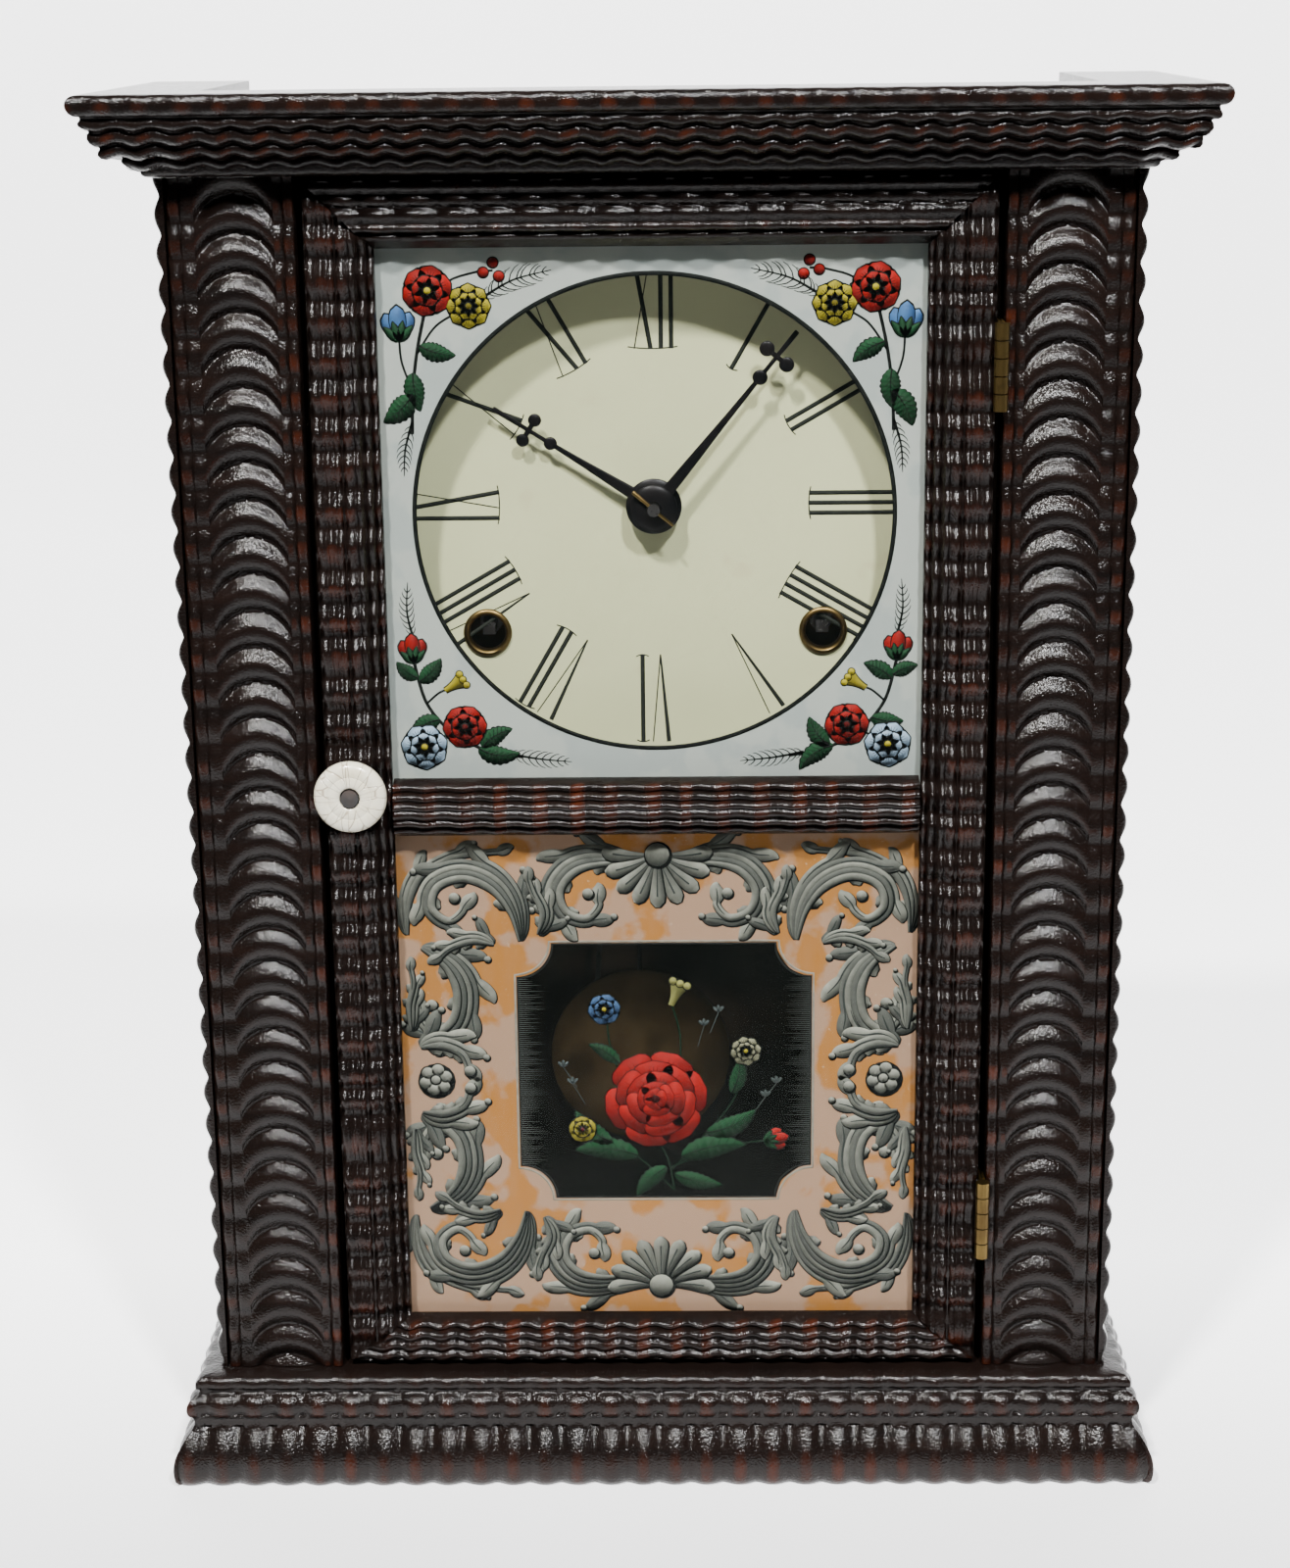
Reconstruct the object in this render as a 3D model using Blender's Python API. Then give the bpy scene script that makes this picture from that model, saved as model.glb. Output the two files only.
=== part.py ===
# Cottage clock: a rippled wooden case, a hinged glazed door and a spring-driven striking movement.
# All sizes are metres. X runs to the viewer's right, the front faces -Y and Z is up.
# The origin is the middle of the footprint, on the surface that the clock stands on.
# A depth is a distance behind the front plane, which is the face of the two pilasters.

import math

import bmesh
import bpy
from mathutils import Matrix, Vector

# Case
case_width = 0.2474
case_height = 0.381
case_depth = 0.093
base_height = 0.0304
base_projection = 0.0136
cornice_height = 0.0207
cornice_projection = 0.0185
cornice_block_depth = 0.0102
opening_width = 0.180
pilaster_thickness = 0.0132
side_board_thickness = 0.0095
side_ripple_thickness = 0.001
back_board_thickness = 0.006
bottom_board_thickness = 0.009
top_board_thickness = 0.008
top_board_recess = 0.005
carcass_foot = 0.003

# Ripple pattern
ripple_pitch = 0.0095
arch_relief = 0.0018
arch_rise = 0.0045
side_wave_height = 0.0018
reed_pitch = 0.0092
reed_depth = 0.0010

# Door
door_side_gap = 0.0021
door_end_gap = 0.0016
stile_width = 0.0173
top_rail_height = 0.0173
mid_rail_height = 0.0159
bottom_rail_height = 0.0122
lower_light_height = 0.141
glass_depth = 0.0073
glass_thickness = 0.002
sight_lip = 0.0017
rebate_width = 0.0036
strip_size = 0.003
door_back_cover = 0.0012

# Hinges
hinge_length = 0.0227
hinge_knuckles = 5
hinge_knuckle_radius = 0.0019
hinge_pin_radius = 0.0008
hinge_leaf_thickness = 0.0006
hinge_leaf_depth = 0.010
upper_hinge_drop = 0.0477
lower_hinge_rise = 0.044

# Door knob and its catch
knob_x = -0.081
knob_drop = 0.0021
knob_radius = 0.0097
knob_thickness = 0.004
knob_shaft_radius = 0.0024
catch_length = 0.018
catch_width = 0.007
catch_thickness = 0.002
catch_hub_wall = 0.0016

# Dial
dial_centre_drop = 0.1086
dial_depth = 0.022
dial_thickness = 0.0008
dial_width = 0.168
dial_height = 0.145
dial_hole_radius = 0.0036
dial_block_width = 0.0320
dial_block_lip = 0.002
dial_block_thickness = 0.008
dial_block_height = 0.134
grommet_radius = 0.0065
grommet_bore_radius = 0.0048
grommet_wall = 0.0007
grommet_tube_length = 0.0022
grommet_flange = 0.001

# Hands
minute_hand_length = 0.0597
minute_hand_angle = 39.3
minute_ball_distance = 0.0443
minute_cross_distance = 0.0502
hour_hand_length = 0.0497
hour_hand_angle = 302.0
hour_ball_distance = 0.032
hour_cross_distance = 0.0378
hand_thickness = 0.0007
minute_boss_radius = 0.0060
hour_boss_radius = 0.0072
minute_ball_radius = 0.0019
hour_ball_radius = 0.0017
hand_ball_offset = 0.0033
minute_root_width = 0.0032
hour_root_width = 0.0034
hour_hand_rise = 0.0042
hand_spacing = 0.0032
arbor_tip_reach = 0.0034
hand_pin_reach = 0.0016
hand_pin_length = 0.0142
hand_pin_radius = 0.0006
hand_pin_hole_radius = 0.0009
hand_pin_angle = 40

# Movement
winding_spacing = 0.0904
winding_drop = 0.0347
front_plate_depth = 0.037
plate_thickness = 0.0014
plate_spacing = 0.0316
plate_width = 0.108
plate_drop = 0.0704
plate_rise = 0.0536
pillar_radius = 0.003
pillar_inset_x = 0.007
pillar_inset_z = 0.0046
winding_arbor_radius = 0.003
arbor_radius = 0.0012
slim_arbor_radius = 0.0009
pivot_radius = 0.0007
centre_arbor_radius = 0.0017
great_teeth = 72
second_pinion_leaves = 8
great_module = 0.00075
second_teeth = 48
centre_pinion_leaves = 12
second_module = 0.000933
centre_teeth = 60
third_pinion_leaves = 6
centre_module = 0.0007
third_teeth = 60
escape_pinion_leaves = 6
third_module = 0.000575
cannon_teeth = 12
motion_teeth = 36
cannon_module = 0.0005
motion_pinion_leaves = 10
hour_teeth = 40
count_teeth = 60
count_pinion_leaves = 6
count_module = 0.00066
escape_teeth = 40
escape_radius = 0.014
escape_tooth_height = 0.0016
wheel_thickness = 0.0012
pinion_length = 0.0024
pipe_wall = 0.0008
hour_wheel_set_back = 0.0030
motion_wheel_set_back = 0.0020
great_wheel_inset = 0.0100
second_wheel_inset = 0.0055
strike_second_inset = 0.0031
centre_wheel_inset = 0.0110
third_wheel_inset = 0.0050
count_wheel_inset = 0.0070
escape_wheel_reach = 0.0028
verge_reach = 0.0030
count_arbor_angle = 95
motion_arbor_angle = -45
ratchet_teeth = 16
ratchet_radius = 0.0078
winding_square_share = 0.8
winding_square_set_back = 0.0050
rivet_reach = 0.0024
seam = 0.0004
mainspring_radius = 0.022
mainspring_bore = 0.009
mainspring_width = 0.017
mainspring_set_back = 0.0017
mainspring_tail = 0.0012

# Pendulum and escapement
pendulum_x = -0.0055
pendulum_length = 0.203
pivot_rise = 0.0432
bob_radius = 0.0254
bob_thickness = 0.0074
rod_radius = 0.0007
rod_depth = 0.0315
verge_drop = 0.0196
verge_thickness = 0.0014
verge_hub_radius = 0.0022
verge_pin_radius = 0.0008
crutch_length = 0.026
crutch_width = 0.0012
crutch_wire = 0.0007
fork_wall = 0.0008
fork_height = 0.0016
cock_half_width = 0.004
cock_height = 0.008
cock_arm_rise = 0.0036
spring_length = 0.012
spring_thickness = 0.0003
spring_half_width = 0.0015

# Strike
hammer_x = -0.012
hammer_drop = 0.0454
hammer_head_radius = 0.0032
hammer_head_length = 0.008
hammer_wire = 0.0016
gong_x = 0.008
gong_z = 0.080
gong_radius = 0.024
gong_turns = 3
gong_wire = 0.0012
gong_wire_depth = 0.0024
gong_post_radius = 0.003
gong_base_radius = 0.009
gong_base_thickness = 0.007
gong_front_depth = 0.0748
hammer_gap = 0.001

# Clearances
fit_gap = 0.0003
running_gap = 0.0003
tooth_share = 0.7
tooth_clearance = 0.0002
weld_distance = 0.000001

front_y = (cornice_projection - case_depth) / 2
half_width = case_width / 2
carcass_half = half_width - side_ripple_thickness - fit_gap
opening_half = opening_width / 2
cornice_bottom = case_height - cornice_height
inner_half = carcass_half - side_board_thickness
door_half = opening_half - door_side_gap
door_bottom = base_height + door_end_gap
door_top = cornice_bottom - door_end_gap
sight_half = door_half - stile_width
lower_sight_bottom = door_bottom + bottom_rail_height
mid_rail_bottom = lower_sight_bottom + lower_light_height
mid_rail_top = mid_rail_bottom + mid_rail_height
upper_sight_top = door_top - top_rail_height
upper_hinge_middle = door_top - upper_hinge_drop
lower_hinge_middle = door_bottom + lower_hinge_rise
knob_z = mid_rail_top - knob_drop
strip_depth = glass_depth + glass_thickness + fit_gap
door_thickness = strip_depth + strip_size + door_back_cover
hinge_x = opening_half - door_side_gap / 2
hinge_depth = -hinge_knuckle_radius - fit_gap
knob_front = -0.0060
back_plate_depth = front_plate_depth + plate_thickness + plate_spacing
plate_centre_back = back_plate_depth + plate_thickness
hammer_depth = gong_front_depth + gong_wire_depth / 2
dial_centre_z = case_height - dial_centre_drop
plate_bottom = dial_centre_z - plate_drop
plate_top = dial_centre_z + plate_rise
pivot_z = dial_centre_z + pivot_rise
bob_height = pivot_z - pendulum_length
hammer_z = dial_centre_z - hammer_drop
hour_hand_depth = dial_depth - hour_hand_rise
minute_hand_depth = hour_hand_depth - hand_spacing
pipe_radius = centre_arbor_radius + running_gap
pipe_outer = pipe_radius + pipe_wall
arbor_tip_depth = minute_hand_depth - arbor_tip_reach
pin_depth = minute_hand_depth - hand_pin_reach
pin_turn = math.radians(hand_pin_angle)
great_depth = back_plate_depth - great_wheel_inset
second_wheel_depth = back_plate_depth - second_wheel_inset
strike_second_depth = back_plate_depth - strike_second_inset
centre_wheel_depth = front_plate_depth + centre_wheel_inset
third_wheel_depth = front_plate_depth + third_wheel_inset
count_depth = front_plate_depth + count_wheel_inset
escape_depth = front_plate_depth - escape_wheel_reach
verge_depth = front_plate_depth - verge_reach
hour_wheel_depth = dial_depth + hour_wheel_set_back
motion_depth = hour_wheel_depth + motion_wheel_set_back
pinion_lead = (pinion_length - wheel_thickness) / 2
plate_inside = front_plate_depth + plate_thickness + running_gap
foot_depth = case_depth - back_board_thickness - fit_gap

finishes = {
    "ripple_wood": ((0.045, 0.014, 0.008), 0.25, 0.0),
    "pine": ((0.30, 0.18, 0.09), 0.7, 0.0),
    "brass": ((0.60, 0.43, 0.16), 0.35, 1.0),
    "steel": ((0.35, 0.35, 0.36), 0.35, 1.0),
    "black_steel": ((0.012, 0.012, 0.016), 0.3, 0.6),
    "iron": ((0.06, 0.055, 0.05), 0.6, 0.8),
    "paint": ((0.62, 0.60, 0.46), 0.5, 0.0),
    "glass": ((0.80, 0.85, 0.84), 0.05, 0.0),
    "bone": ((0.82, 0.76, 0.62), 0.35, 0.0),
}


def at_depth(depth):
    return front_y + depth


# Materials and objects


def make_material(name, kind):
    colour, roughness, metallic = finishes[kind]
    material = bpy.data.materials.new(name + "_finish")
    material.use_nodes = True
    shader = material.node_tree.nodes["Principled BSDF"]
    shader.inputs["Base Color"].default_value = (*colour, 1.0)
    shader.inputs["Roughness"].default_value = roughness
    shader.inputs["Metallic"].default_value = metallic
    return material


def close_mesh(solid):
    bmesh.ops.remove_doubles(solid, verts=solid.verts, dist=weld_distance)
    bmesh.ops.recalc_face_normals(solid, faces=solid.faces)
    if solid.calc_volume(signed=True) < 0:
        bmesh.ops.reverse_faces(solid, faces=solid.faces)


def add_object(name, solid, kind, origin=(0, 0, 0)):
    bmesh.ops.translate(solid, verts=solid.verts, vec=-Vector(origin))
    mesh = bpy.data.meshes.new(name)
    solid.to_mesh(mesh)
    solid.free()
    mesh.shade_smooth()
    mesh.set_sharp_from_angle(angle=math.radians(30))
    mesh.materials.append(make_material(name, kind))
    part = bpy.data.objects.new(name, mesh)
    part.location = origin
    bpy.context.scene.collection.objects.link(part)
    return part


# Solid builders


def loft(rings):
    # Joins rings of equal length with quads and closes both ends.
    solid = bmesh.new()
    rows = [[solid.verts.new(point) for point in ring] for ring in rings]
    count = len(rows[0])
    for lower, upper in zip(rows, rows[1:]):
        for i in range(count):
            j = (i + 1) % count
            solid.faces.new((lower[i], lower[j], upper[j], upper[i]))
    solid.faces.new(rows[0])
    solid.faces.new(rows[-1])
    close_mesh(solid)
    return solid


def box(low, high):
    (x0, y0, z0), (x1, y1, z1) = low, high
    return loft([[(x0, y0, z), (x1, y0, z), (x1, y1, z), (x0, y1, z)] for z in (z0, z1)])


def plate_from_outline(outline, front_depth, thickness):
    # The outline is a list of (x, z) points, extruded backwards.
    depths = (front_depth, front_depth + thickness)
    return loft([[(x, at_depth(depth), z) for x, z in outline] for depth in depths])


def turned(profile, centre, axis="Y", segments=16, ring=False):
    # The profile is a list of (radius, offset) pairs along the axis through the centre.
    centre = Vector(centre)
    frames = {
        "X": (Vector((0, 1, 0)), Vector((0, 0, 1)), Vector((1, 0, 0))),
        "Y": (Vector((1, 0, 0)), Vector((0, 0, 1)), Vector((0, 1, 0))),
        "Z": (Vector((1, 0, 0)), Vector((0, 1, 0)), Vector((0, 0, 1))),
    }
    side, up, along = frames[axis]
    solid = bmesh.new()
    rows = []
    for radius, offset in profile:
        middle = centre + along * offset
        if radius == 0:
            rows.append([solid.verts.new(middle)])
            continue
        row = []
        for i in range(segments):
            angle = 2 * math.pi * (i + 0.5) / segments
            spoke = side * math.cos(angle) + up * math.sin(angle)
            row.append(solid.verts.new(middle + spoke * radius))
        rows.append(row)
    pairs = list(zip(rows, rows[1:]))
    if ring:
        pairs.append((rows[-1], rows[0]))
    for lower, upper in pairs:
        for i in range(segments):
            j = (i + 1) % segments
            below = [lower[i % len(lower)], lower[j % len(lower)]]
            above = [upper[j % len(upper)], upper[i % len(upper)]]
            solid.faces.new(list(dict.fromkeys(below + above)))
    if not ring:
        for row in (rows[0], rows[-1]):
            if len(row) > 1:
                solid.faces.new(row)
    close_mesh(solid)
    return solid


def rod(radius, front_depth, back_depth, x, z, segments=12):
    # A plain round bar along Y.
    return turned([(radius, front_depth), (radius, back_depth)], (x, front_y, z), segments=segments)


def combine(first, second, operation="UNION"):
    blanks = []
    for name, solid in (("first", first), ("second", second)):
        mesh = bpy.data.meshes.new(name)
        solid.to_mesh(mesh)
        solid.free()
        blank = bpy.data.objects.new(name, mesh)
        bpy.context.scene.collection.objects.link(blank)
        blanks.append(blank)
    cut = blanks[0].modifiers.new("combine", "BOOLEAN")
    cut.operation = operation
    cut.object = blanks[1]
    evaluated = blanks[0].evaluated_get(bpy.context.evaluated_depsgraph_get())
    result = bmesh.new()
    result.from_mesh(evaluated.to_mesh())
    for blank in blanks:
        mesh = blank.data
        bpy.data.objects.remove(blank)
        bpy.data.meshes.remove(mesh)
    close_mesh(result)
    return result


def union(solids):
    result = solids[0]
    for solid in solids[1:]:
        result = combine(result, solid)
    return result


def cut(solid, tools):
    for tool in tools:
        solid = combine(solid, tool, "DIFFERENCE")
    return solid


def direction(start, end):
    return math.atan2(end[1] - start[1], end[0] - start[0])


def on_circle(centre, radius, angle):
    return (centre[0] + radius * math.cos(angle), centre[1] + radius * math.sin(angle))


def circle_crossing(first, first_radius, second, second_radius, side):
    # The point at the two given distances, on the chosen side of the line between the centres.
    span = math.dist(first, second)
    angle = direction(first, second)
    share = (first_radius ** 2 + span ** 2 - second_radius ** 2) / (2 * first_radius * span)
    return on_circle(first, first_radius, angle + side * math.acos(max(-1.0, min(1.0, share))))


def pitch_radius(teeth, module):
    return teeth * module / 2


def gear(centre, teeth, module, front_depth, thickness, facing, tooth_faces=True):
    # A toothed disc. A tooth, or else a gap, faces the given direction.
    reach = tooth_share * module
    tip = pitch_radius(teeth, module) + reach - tooth_clearance
    root = pitch_radius(teeth, module) - reach - tooth_clearance
    step = math.pi / teeth
    first = facing if tooth_faces else facing + step
    outline = [on_circle(centre, root if i % 2 else tip, first + i * step) for i in range(2 * teeth)]
    return plate_from_outline(outline, front_depth, thickness)


def leaves(place, count, module, wheel_depth, facing):
    # A pinion, with a gap towards the wheel that it meets.
    return gear(place, count, module, wheel_depth - pinion_lead, pinion_length, facing, False)


def disc_wheel(place, teeth, module, depth, facing):
    return gear(place, teeth, module, depth, wheel_thickness, facing)


# Case


def side_offset(share, reach, corner=0.2):
    # How far a mitred end is drawn out at this share of the length.
    return reach * max(0.0, 1 - share / corner)


def base_section():
    p = base_projection
    h = base_height
    reeded = [(0.83, 0.0), (0.985, 0.08), (1.0, 0.21), (0.91, 0.34), (0.77, 0.51)]
    plain = [(0.51, 0.64), (0.65, 0.76), (0.45, 0.85), (0.38, 0.88), (0.40, 0.91), (0.40, 1.0)]
    return [(a * p, b * h) for a, b in reeded], [(a * p, b * h) for a, b in plain]


def cornice_section():
    p = cornice_projection
    h = cornice_height
    shares = [
        (0.0, 0.0), (0.11, 0.01), (0.24, 0.035), (0.36, 0.16), (0.47, 0.17), (0.68, 0.23),
        (0.72, 0.41), (0.84, 0.46), (0.87, 0.52), (0.88, 0.75), (0.93, 0.77), (0.97, 0.88),
        (1.0, 0.97), (0.97, 1.0),
    ]
    return [(a * p, cornice_bottom + b * h) for a, b in shares]


def reeded_section(index, inner):
    reeded, plain = base_section()
    drop = reed_depth if index % 2 else 0.0
    return [(-inner, 0.0)] + [(p - drop, z) for p, z in reeded] + plain + [(-inner, base_height)]


def make_base():
    inner = pilaster_thickness
    half_steps = round(half_width / reed_pitch)
    rings = []
    for i in range(-2 * half_steps, 2 * half_steps + 1):
        share = abs(i) / (2 * half_steps)
        sign = 1 if i > 0 else -1
        ring = []
        for p, z in reeded_section(i, inner):
            end = half_width * share + side_offset(1 - share, p - fit_gap)
            ring.append((sign * end, front_y - p, z))
        rings.append(ring)
    add_object("base_front_moulding", loft(rings), "ripple_wood")
    steps = 2 * round(case_depth / reed_pitch)
    wall = half_width - inner_half
    for name, sign in (("base_left_moulding", -1), ("base_right_moulding", 1)):
        rings = []
        for i in range(steps + 1):
            share = i / steps
            ring = []
            for p, z in reeded_section(i, wall):
                y = front_y + share * case_depth - side_offset(share, p - fit_gap)
                ring.append((sign * (half_width + p), y, z))
            rings.append(ring)
        add_object(name, loft(rings), "ripple_wood")


def make_cornice():
    inner = cornice_block_depth
    section = [(-inner, cornice_bottom)] + cornice_section() + [(-inner, case_height)]
    rings = []
    for sign in (-1, 1):
        rings.append([(sign * (half_width + p - fit_gap), front_y - p, z) for p, z in section])
    add_object("cornice_front", loft(rings), "ripple_wood")
    back = front_y + case_depth
    for name, sign in (("cornice_left", -1), ("cornice_right", 1)):
        front_ring = [(sign * (half_width + p), front_y - p + fit_gap, z) for p, z in section]
        back_ring = [(sign * (half_width + p), back, z) for p, z in section]
        add_object(name, loft([front_ring, back_ring]), "ripple_wood")


def make_boards():
    front = at_depth(pilaster_thickness + fit_gap)
    back = at_depth(case_depth)
    board_front = back - back_board_thickness - fit_gap
    side = inner_half - fit_gap
    bottom_top = base_height - fit_gap
    low = (-side, front, bottom_top - bottom_board_thickness)
    add_object("bottom_board", box(low, (side, board_front, bottom_top)), "pine")
    back_top = case_height - top_board_recess
    back_side = min(side, half_width - cornice_block_depth - fit_gap)
    low = (-back_side, back - back_board_thickness, carcass_foot)
    add_object("back_board", box(low, (back_side, back, back_top)), "pine")
    lid_side = half_width - cornice_block_depth - fit_gap
    low = (-lid_side, at_depth(cornice_block_depth + fit_gap), back_top - top_board_thickness)
    add_object("top_board", box(low, (lid_side, board_front, back_top)), "pine")


def make_pilasters():
    outer = carcass_half
    width = carcass_half - opening_half
    arch_middle = 0.5 * width
    arch_half = 0.28 * width
    shares = [0.0, 0.07, 0.22, 0.36, 0.5, 0.64, 0.78, 0.91, 1.0]
    low = base_height + fit_gap
    high = cornice_bottom - fit_gap
    count = 2 * round((high - low) / ripple_pitch)
    back = at_depth(pilaster_thickness)
    for name, sign in (("left_pilaster", -1), ("right_pilaster", 1)):
        rings = []
        for row in range(count + 1):
            z = low + (high - low) * row / count
            fade = min(1.0, row / 2, (count - row) / 2)
            ring = [(sign * outer, back, z)]
            for share in shares:
                reach = (share * width - arch_middle) / arch_half
                rise = arch_rise * math.sqrt(max(0.0, 1 - reach * reach)) * fade
                relief = 0.0 if row % 2 else arch_relief
                ring.append((sign * (outer - share * width), front_y + relief, z + rise))
            ring.append((sign * (outer - width), back, z))
            rings.append(ring)
        add_object(name, loft(rings), "ripple_wood")


def make_side_boards():
    # Each side is a board behind the pilaster, with a rippled face that covers the pilaster's edge.
    low = base_height + fit_gap
    high = cornice_bottom - fit_gap
    count = 2 * round((high - low) / ripple_pitch)
    face = half_width - side_ripple_thickness
    front = at_depth(fit_gap)
    board_front = at_depth(pilaster_thickness + fit_gap)
    back = at_depth(case_depth)
    for name, sign in (("left_side_board", -1), ("right_side_board", 1)):
        rings = []
        for row in range(count + 1):
            z = low + (high - low) * row / count
            outer = half_width + (side_wave_height if row % 2 else 0.0)
            corners = (
                (inner_half, board_front), (face, board_front), (face, front),
                (outer, front), (outer, back), (inner_half, back),
            )
            rings.append([(sign * x, y, z) for x, y in corners])
        add_object(name, loft(rings), "ripple_wood")


# Door


def frame_profile():
    # Points (share of the width from the outer edge, depth), front first, round to the back.
    front = [
        (0.0, 0.0012), (0.10, 0.0), (0.21, 0.0009), (0.31, 0.0), (0.42, 0.0014), (0.52, 0.0),
        (0.62, 0.0009), (0.71, 0.0003), (0.80, 0.0020), (0.91, 0.0040), (1.0, glass_depth - sight_lip),
    ]
    return front


def closed_profile(width):
    rebate = (width - rebate_width) / width
    back = [
        (1.0, glass_depth - fit_gap), (rebate, glass_depth - fit_gap),
        (rebate, door_thickness), (0.0, door_thickness),
    ]
    return frame_profile() + back


def make_door_stiles():
    # The corners are mitred from the outer corner to the sight corner.
    for name, sign in (("door_left_stile", -1), ("door_right_stile", 1)):
        rings = []
        for end, rail, way in ((door_bottom, bottom_rail_height, 1), (door_top, top_rail_height, -1)):
            ring = []
            for share, depth in closed_profile(stile_width):
                z = end + way * (share * rail + fit_gap)
                ring.append((sign * (door_half - share * stile_width), at_depth(depth), z))
            rings.append(ring)
        add_door_member(name, loft(rings))


def make_door_rails():
    rails = (
        ("door_top_rail", door_top, top_rail_height, -1),
        ("door_bottom_rail", door_bottom, bottom_rail_height, 1),
    )
    for name, end, height, way in rails:
        rings = []
        for sign in (-1, 1):
            ring = []
            for share, depth in closed_profile(height):
                x = sign * (door_half - share * stile_width - fit_gap)
                ring.append((x, at_depth(depth), end + way * share * height))
            rings.append(ring)
        add_door_member(name, loft(rings))


def make_mid_rail():
    half = mid_rail_height / 2
    middle = mid_rail_bottom + half
    lip = glass_depth - sight_lip
    crest = [(0.22, 0.0003), (0.12, 0.0009), (0.0, 0.0014), (-0.12, 0.0009), (-0.22, 0.0003)]
    upper = [(1.0, lip), (0.8, 0.0040), (0.55, 0.0020), (0.38, 0.0)]
    front = upper + crest + [(-share, depth) for share, depth in reversed(upper)]
    rebate = 1 - rebate_width / half
    ledge = glass_depth - fit_gap
    back = [(-1.0, ledge), (-rebate, ledge), (-rebate, door_thickness)]
    outline = front + back + [(-share, depth) for share, depth in reversed(back)]
    rings = []
    for sign in (-1, 1):
        x = sign * (sight_half - fit_gap)
        rings.append([(x, at_depth(depth), middle + share * half) for share, depth in outline])
    add_door_member("door_mid_rail", loft(rings))


def add_door_member(name, solid, kind="ripple_wood"):
    return add_object(name, solid, kind, (hinge_x, at_depth(hinge_depth), 0))


def light_boxes():
    # The two rebates, as (half width, bottom, top).
    half = sight_half + rebate_width - fit_gap
    upper = (half, mid_rail_top - rebate_width + fit_gap, upper_sight_top + rebate_width - fit_gap)
    lower = (half, lower_sight_bottom - rebate_width + fit_gap, mid_rail_bottom + rebate_width - fit_gap)
    return upper, lower


def make_glass():
    names = (("upper_glass", "upper_glazing_frame"), ("lower_glass", "lower_glazing_frame"))
    for (glass, frame), (half, low, high) in zip(names, light_boxes()):
        front = at_depth(glass_depth)
        add_door_member(glass, box((-half, front, low), (half, front + glass_thickness, high)), "glass")
        front = at_depth(strip_depth)
        blank = box((-half, front, low), (half, front + strip_size, high))
        near = (strip_size - half, front - strip_size, low + strip_size)
        window = box(near, (half - strip_size, front + 2 * strip_size, high - strip_size))
        add_door_member(frame, cut(blank, [window]), "pine")


def hinge_leaf(middle, sign):
    # The case leaf (sign 1) has the odd knuckles and the pin, and the door leaf (sign -1) the even ones.
    low = middle - hinge_length / 2
    pitch = hinge_length / hinge_knuckles
    bore = hinge_pin_radius + running_gap
    axis_y = at_depth(hinge_depth)
    face = door_side_gap / 2 - fit_gap
    near, far = sorted((hinge_x + sign * face, hinge_x + sign * (face - hinge_leaf_thickness)))
    plate_front = at_depth(fit_gap)
    solid = box((near, plate_front, low), (far, at_depth(hinge_leaf_depth), low + hinge_length))
    neck_front = axis_y + (bore + hinge_knuckle_radius) / 2
    pin = []
    for k in range(hinge_knuckles):
        z0 = low + k * pitch + running_gap / 2
        z1 = low + (k + 1) * pitch - running_gap / 2
        if (k % 2 == 0) != (sign == 1):
            continue
        pin += [(hinge_pin_radius, z0), (hinge_knuckle_radius, z0)]
        pin += [(hinge_knuckle_radius, z1), (hinge_pin_radius, z1)]
        neck = box((near, neck_front, z0), (far, plate_front + hinge_leaf_thickness, z1))
        solid = combine(solid, neck)
        if sign == -1:
            sleeve = [(hinge_knuckle_radius, z0), (hinge_knuckle_radius, z1), (bore, z1), (bore, z0)]
            solid = combine(solid, turned(sleeve, (hinge_x, axis_y, 0), "Z", 14, ring=True))
    if sign == 1:
        solid = combine(solid, turned(pin[1:-1], (hinge_x, axis_y, 0), "Z", 14))
    return solid


def make_hinges():
    for name, middle in (("upper_hinge", upper_hinge_middle), ("lower_hinge", lower_hinge_middle)):
        add_object(name + "_case_leaf", hinge_leaf(middle, 1), "brass")
        add_door_member(name + "_door_leaf", hinge_leaf(middle, -1), "brass")


def make_knob():
    centre = (knob_x, front_y, knob_z)
    hole = knob_shaft_radius + running_gap
    front = knob_front
    back = knob_front + knob_thickness
    edge = 0.12 * knob_radius
    tip = 0.04 * knob_radius
    bone = [
        (hole, front + edge / 2), (0.45 * knob_radius, front), (knob_radius - edge, front + edge / 2),
        (knob_radius, front + 2 * edge), (knob_radius, back - edge), (knob_radius - edge, back), (hole, back),
    ]
    add_object("door_knob", turned(bone, centre, segments=24, ring=True), "bone", centre)
    catch_front = door_thickness + fit_gap
    stem = [
        (0, front - tip), (knob_shaft_radius, front), (knob_shaft_radius, catch_front + catch_thickness),
    ]
    shaft = turned(stem, centre, segments=14)
    add_object("knob_shaft", shaft, "black_steel", centre)
    hub = knob_shaft_radius + catch_hub_wall
    half = catch_width / 2
    foot = [(-half, 0), (-half, -catch_length), (half, -catch_length), (half, 0)]
    outline = foot + [(hub / 2, hub), (-hub / 2, hub)]
    blade = plate_from_outline([(knob_x + x, knob_z + z) for x, z in outline], catch_front, catch_thickness)
    bore = rod(knob_shaft_radius + fit_gap, 0, catch_front + 2 * catch_thickness, knob_x, knob_z, 14)
    add_object("latch_catch", cut(blade, [bore]), "iron", centre)


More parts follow.
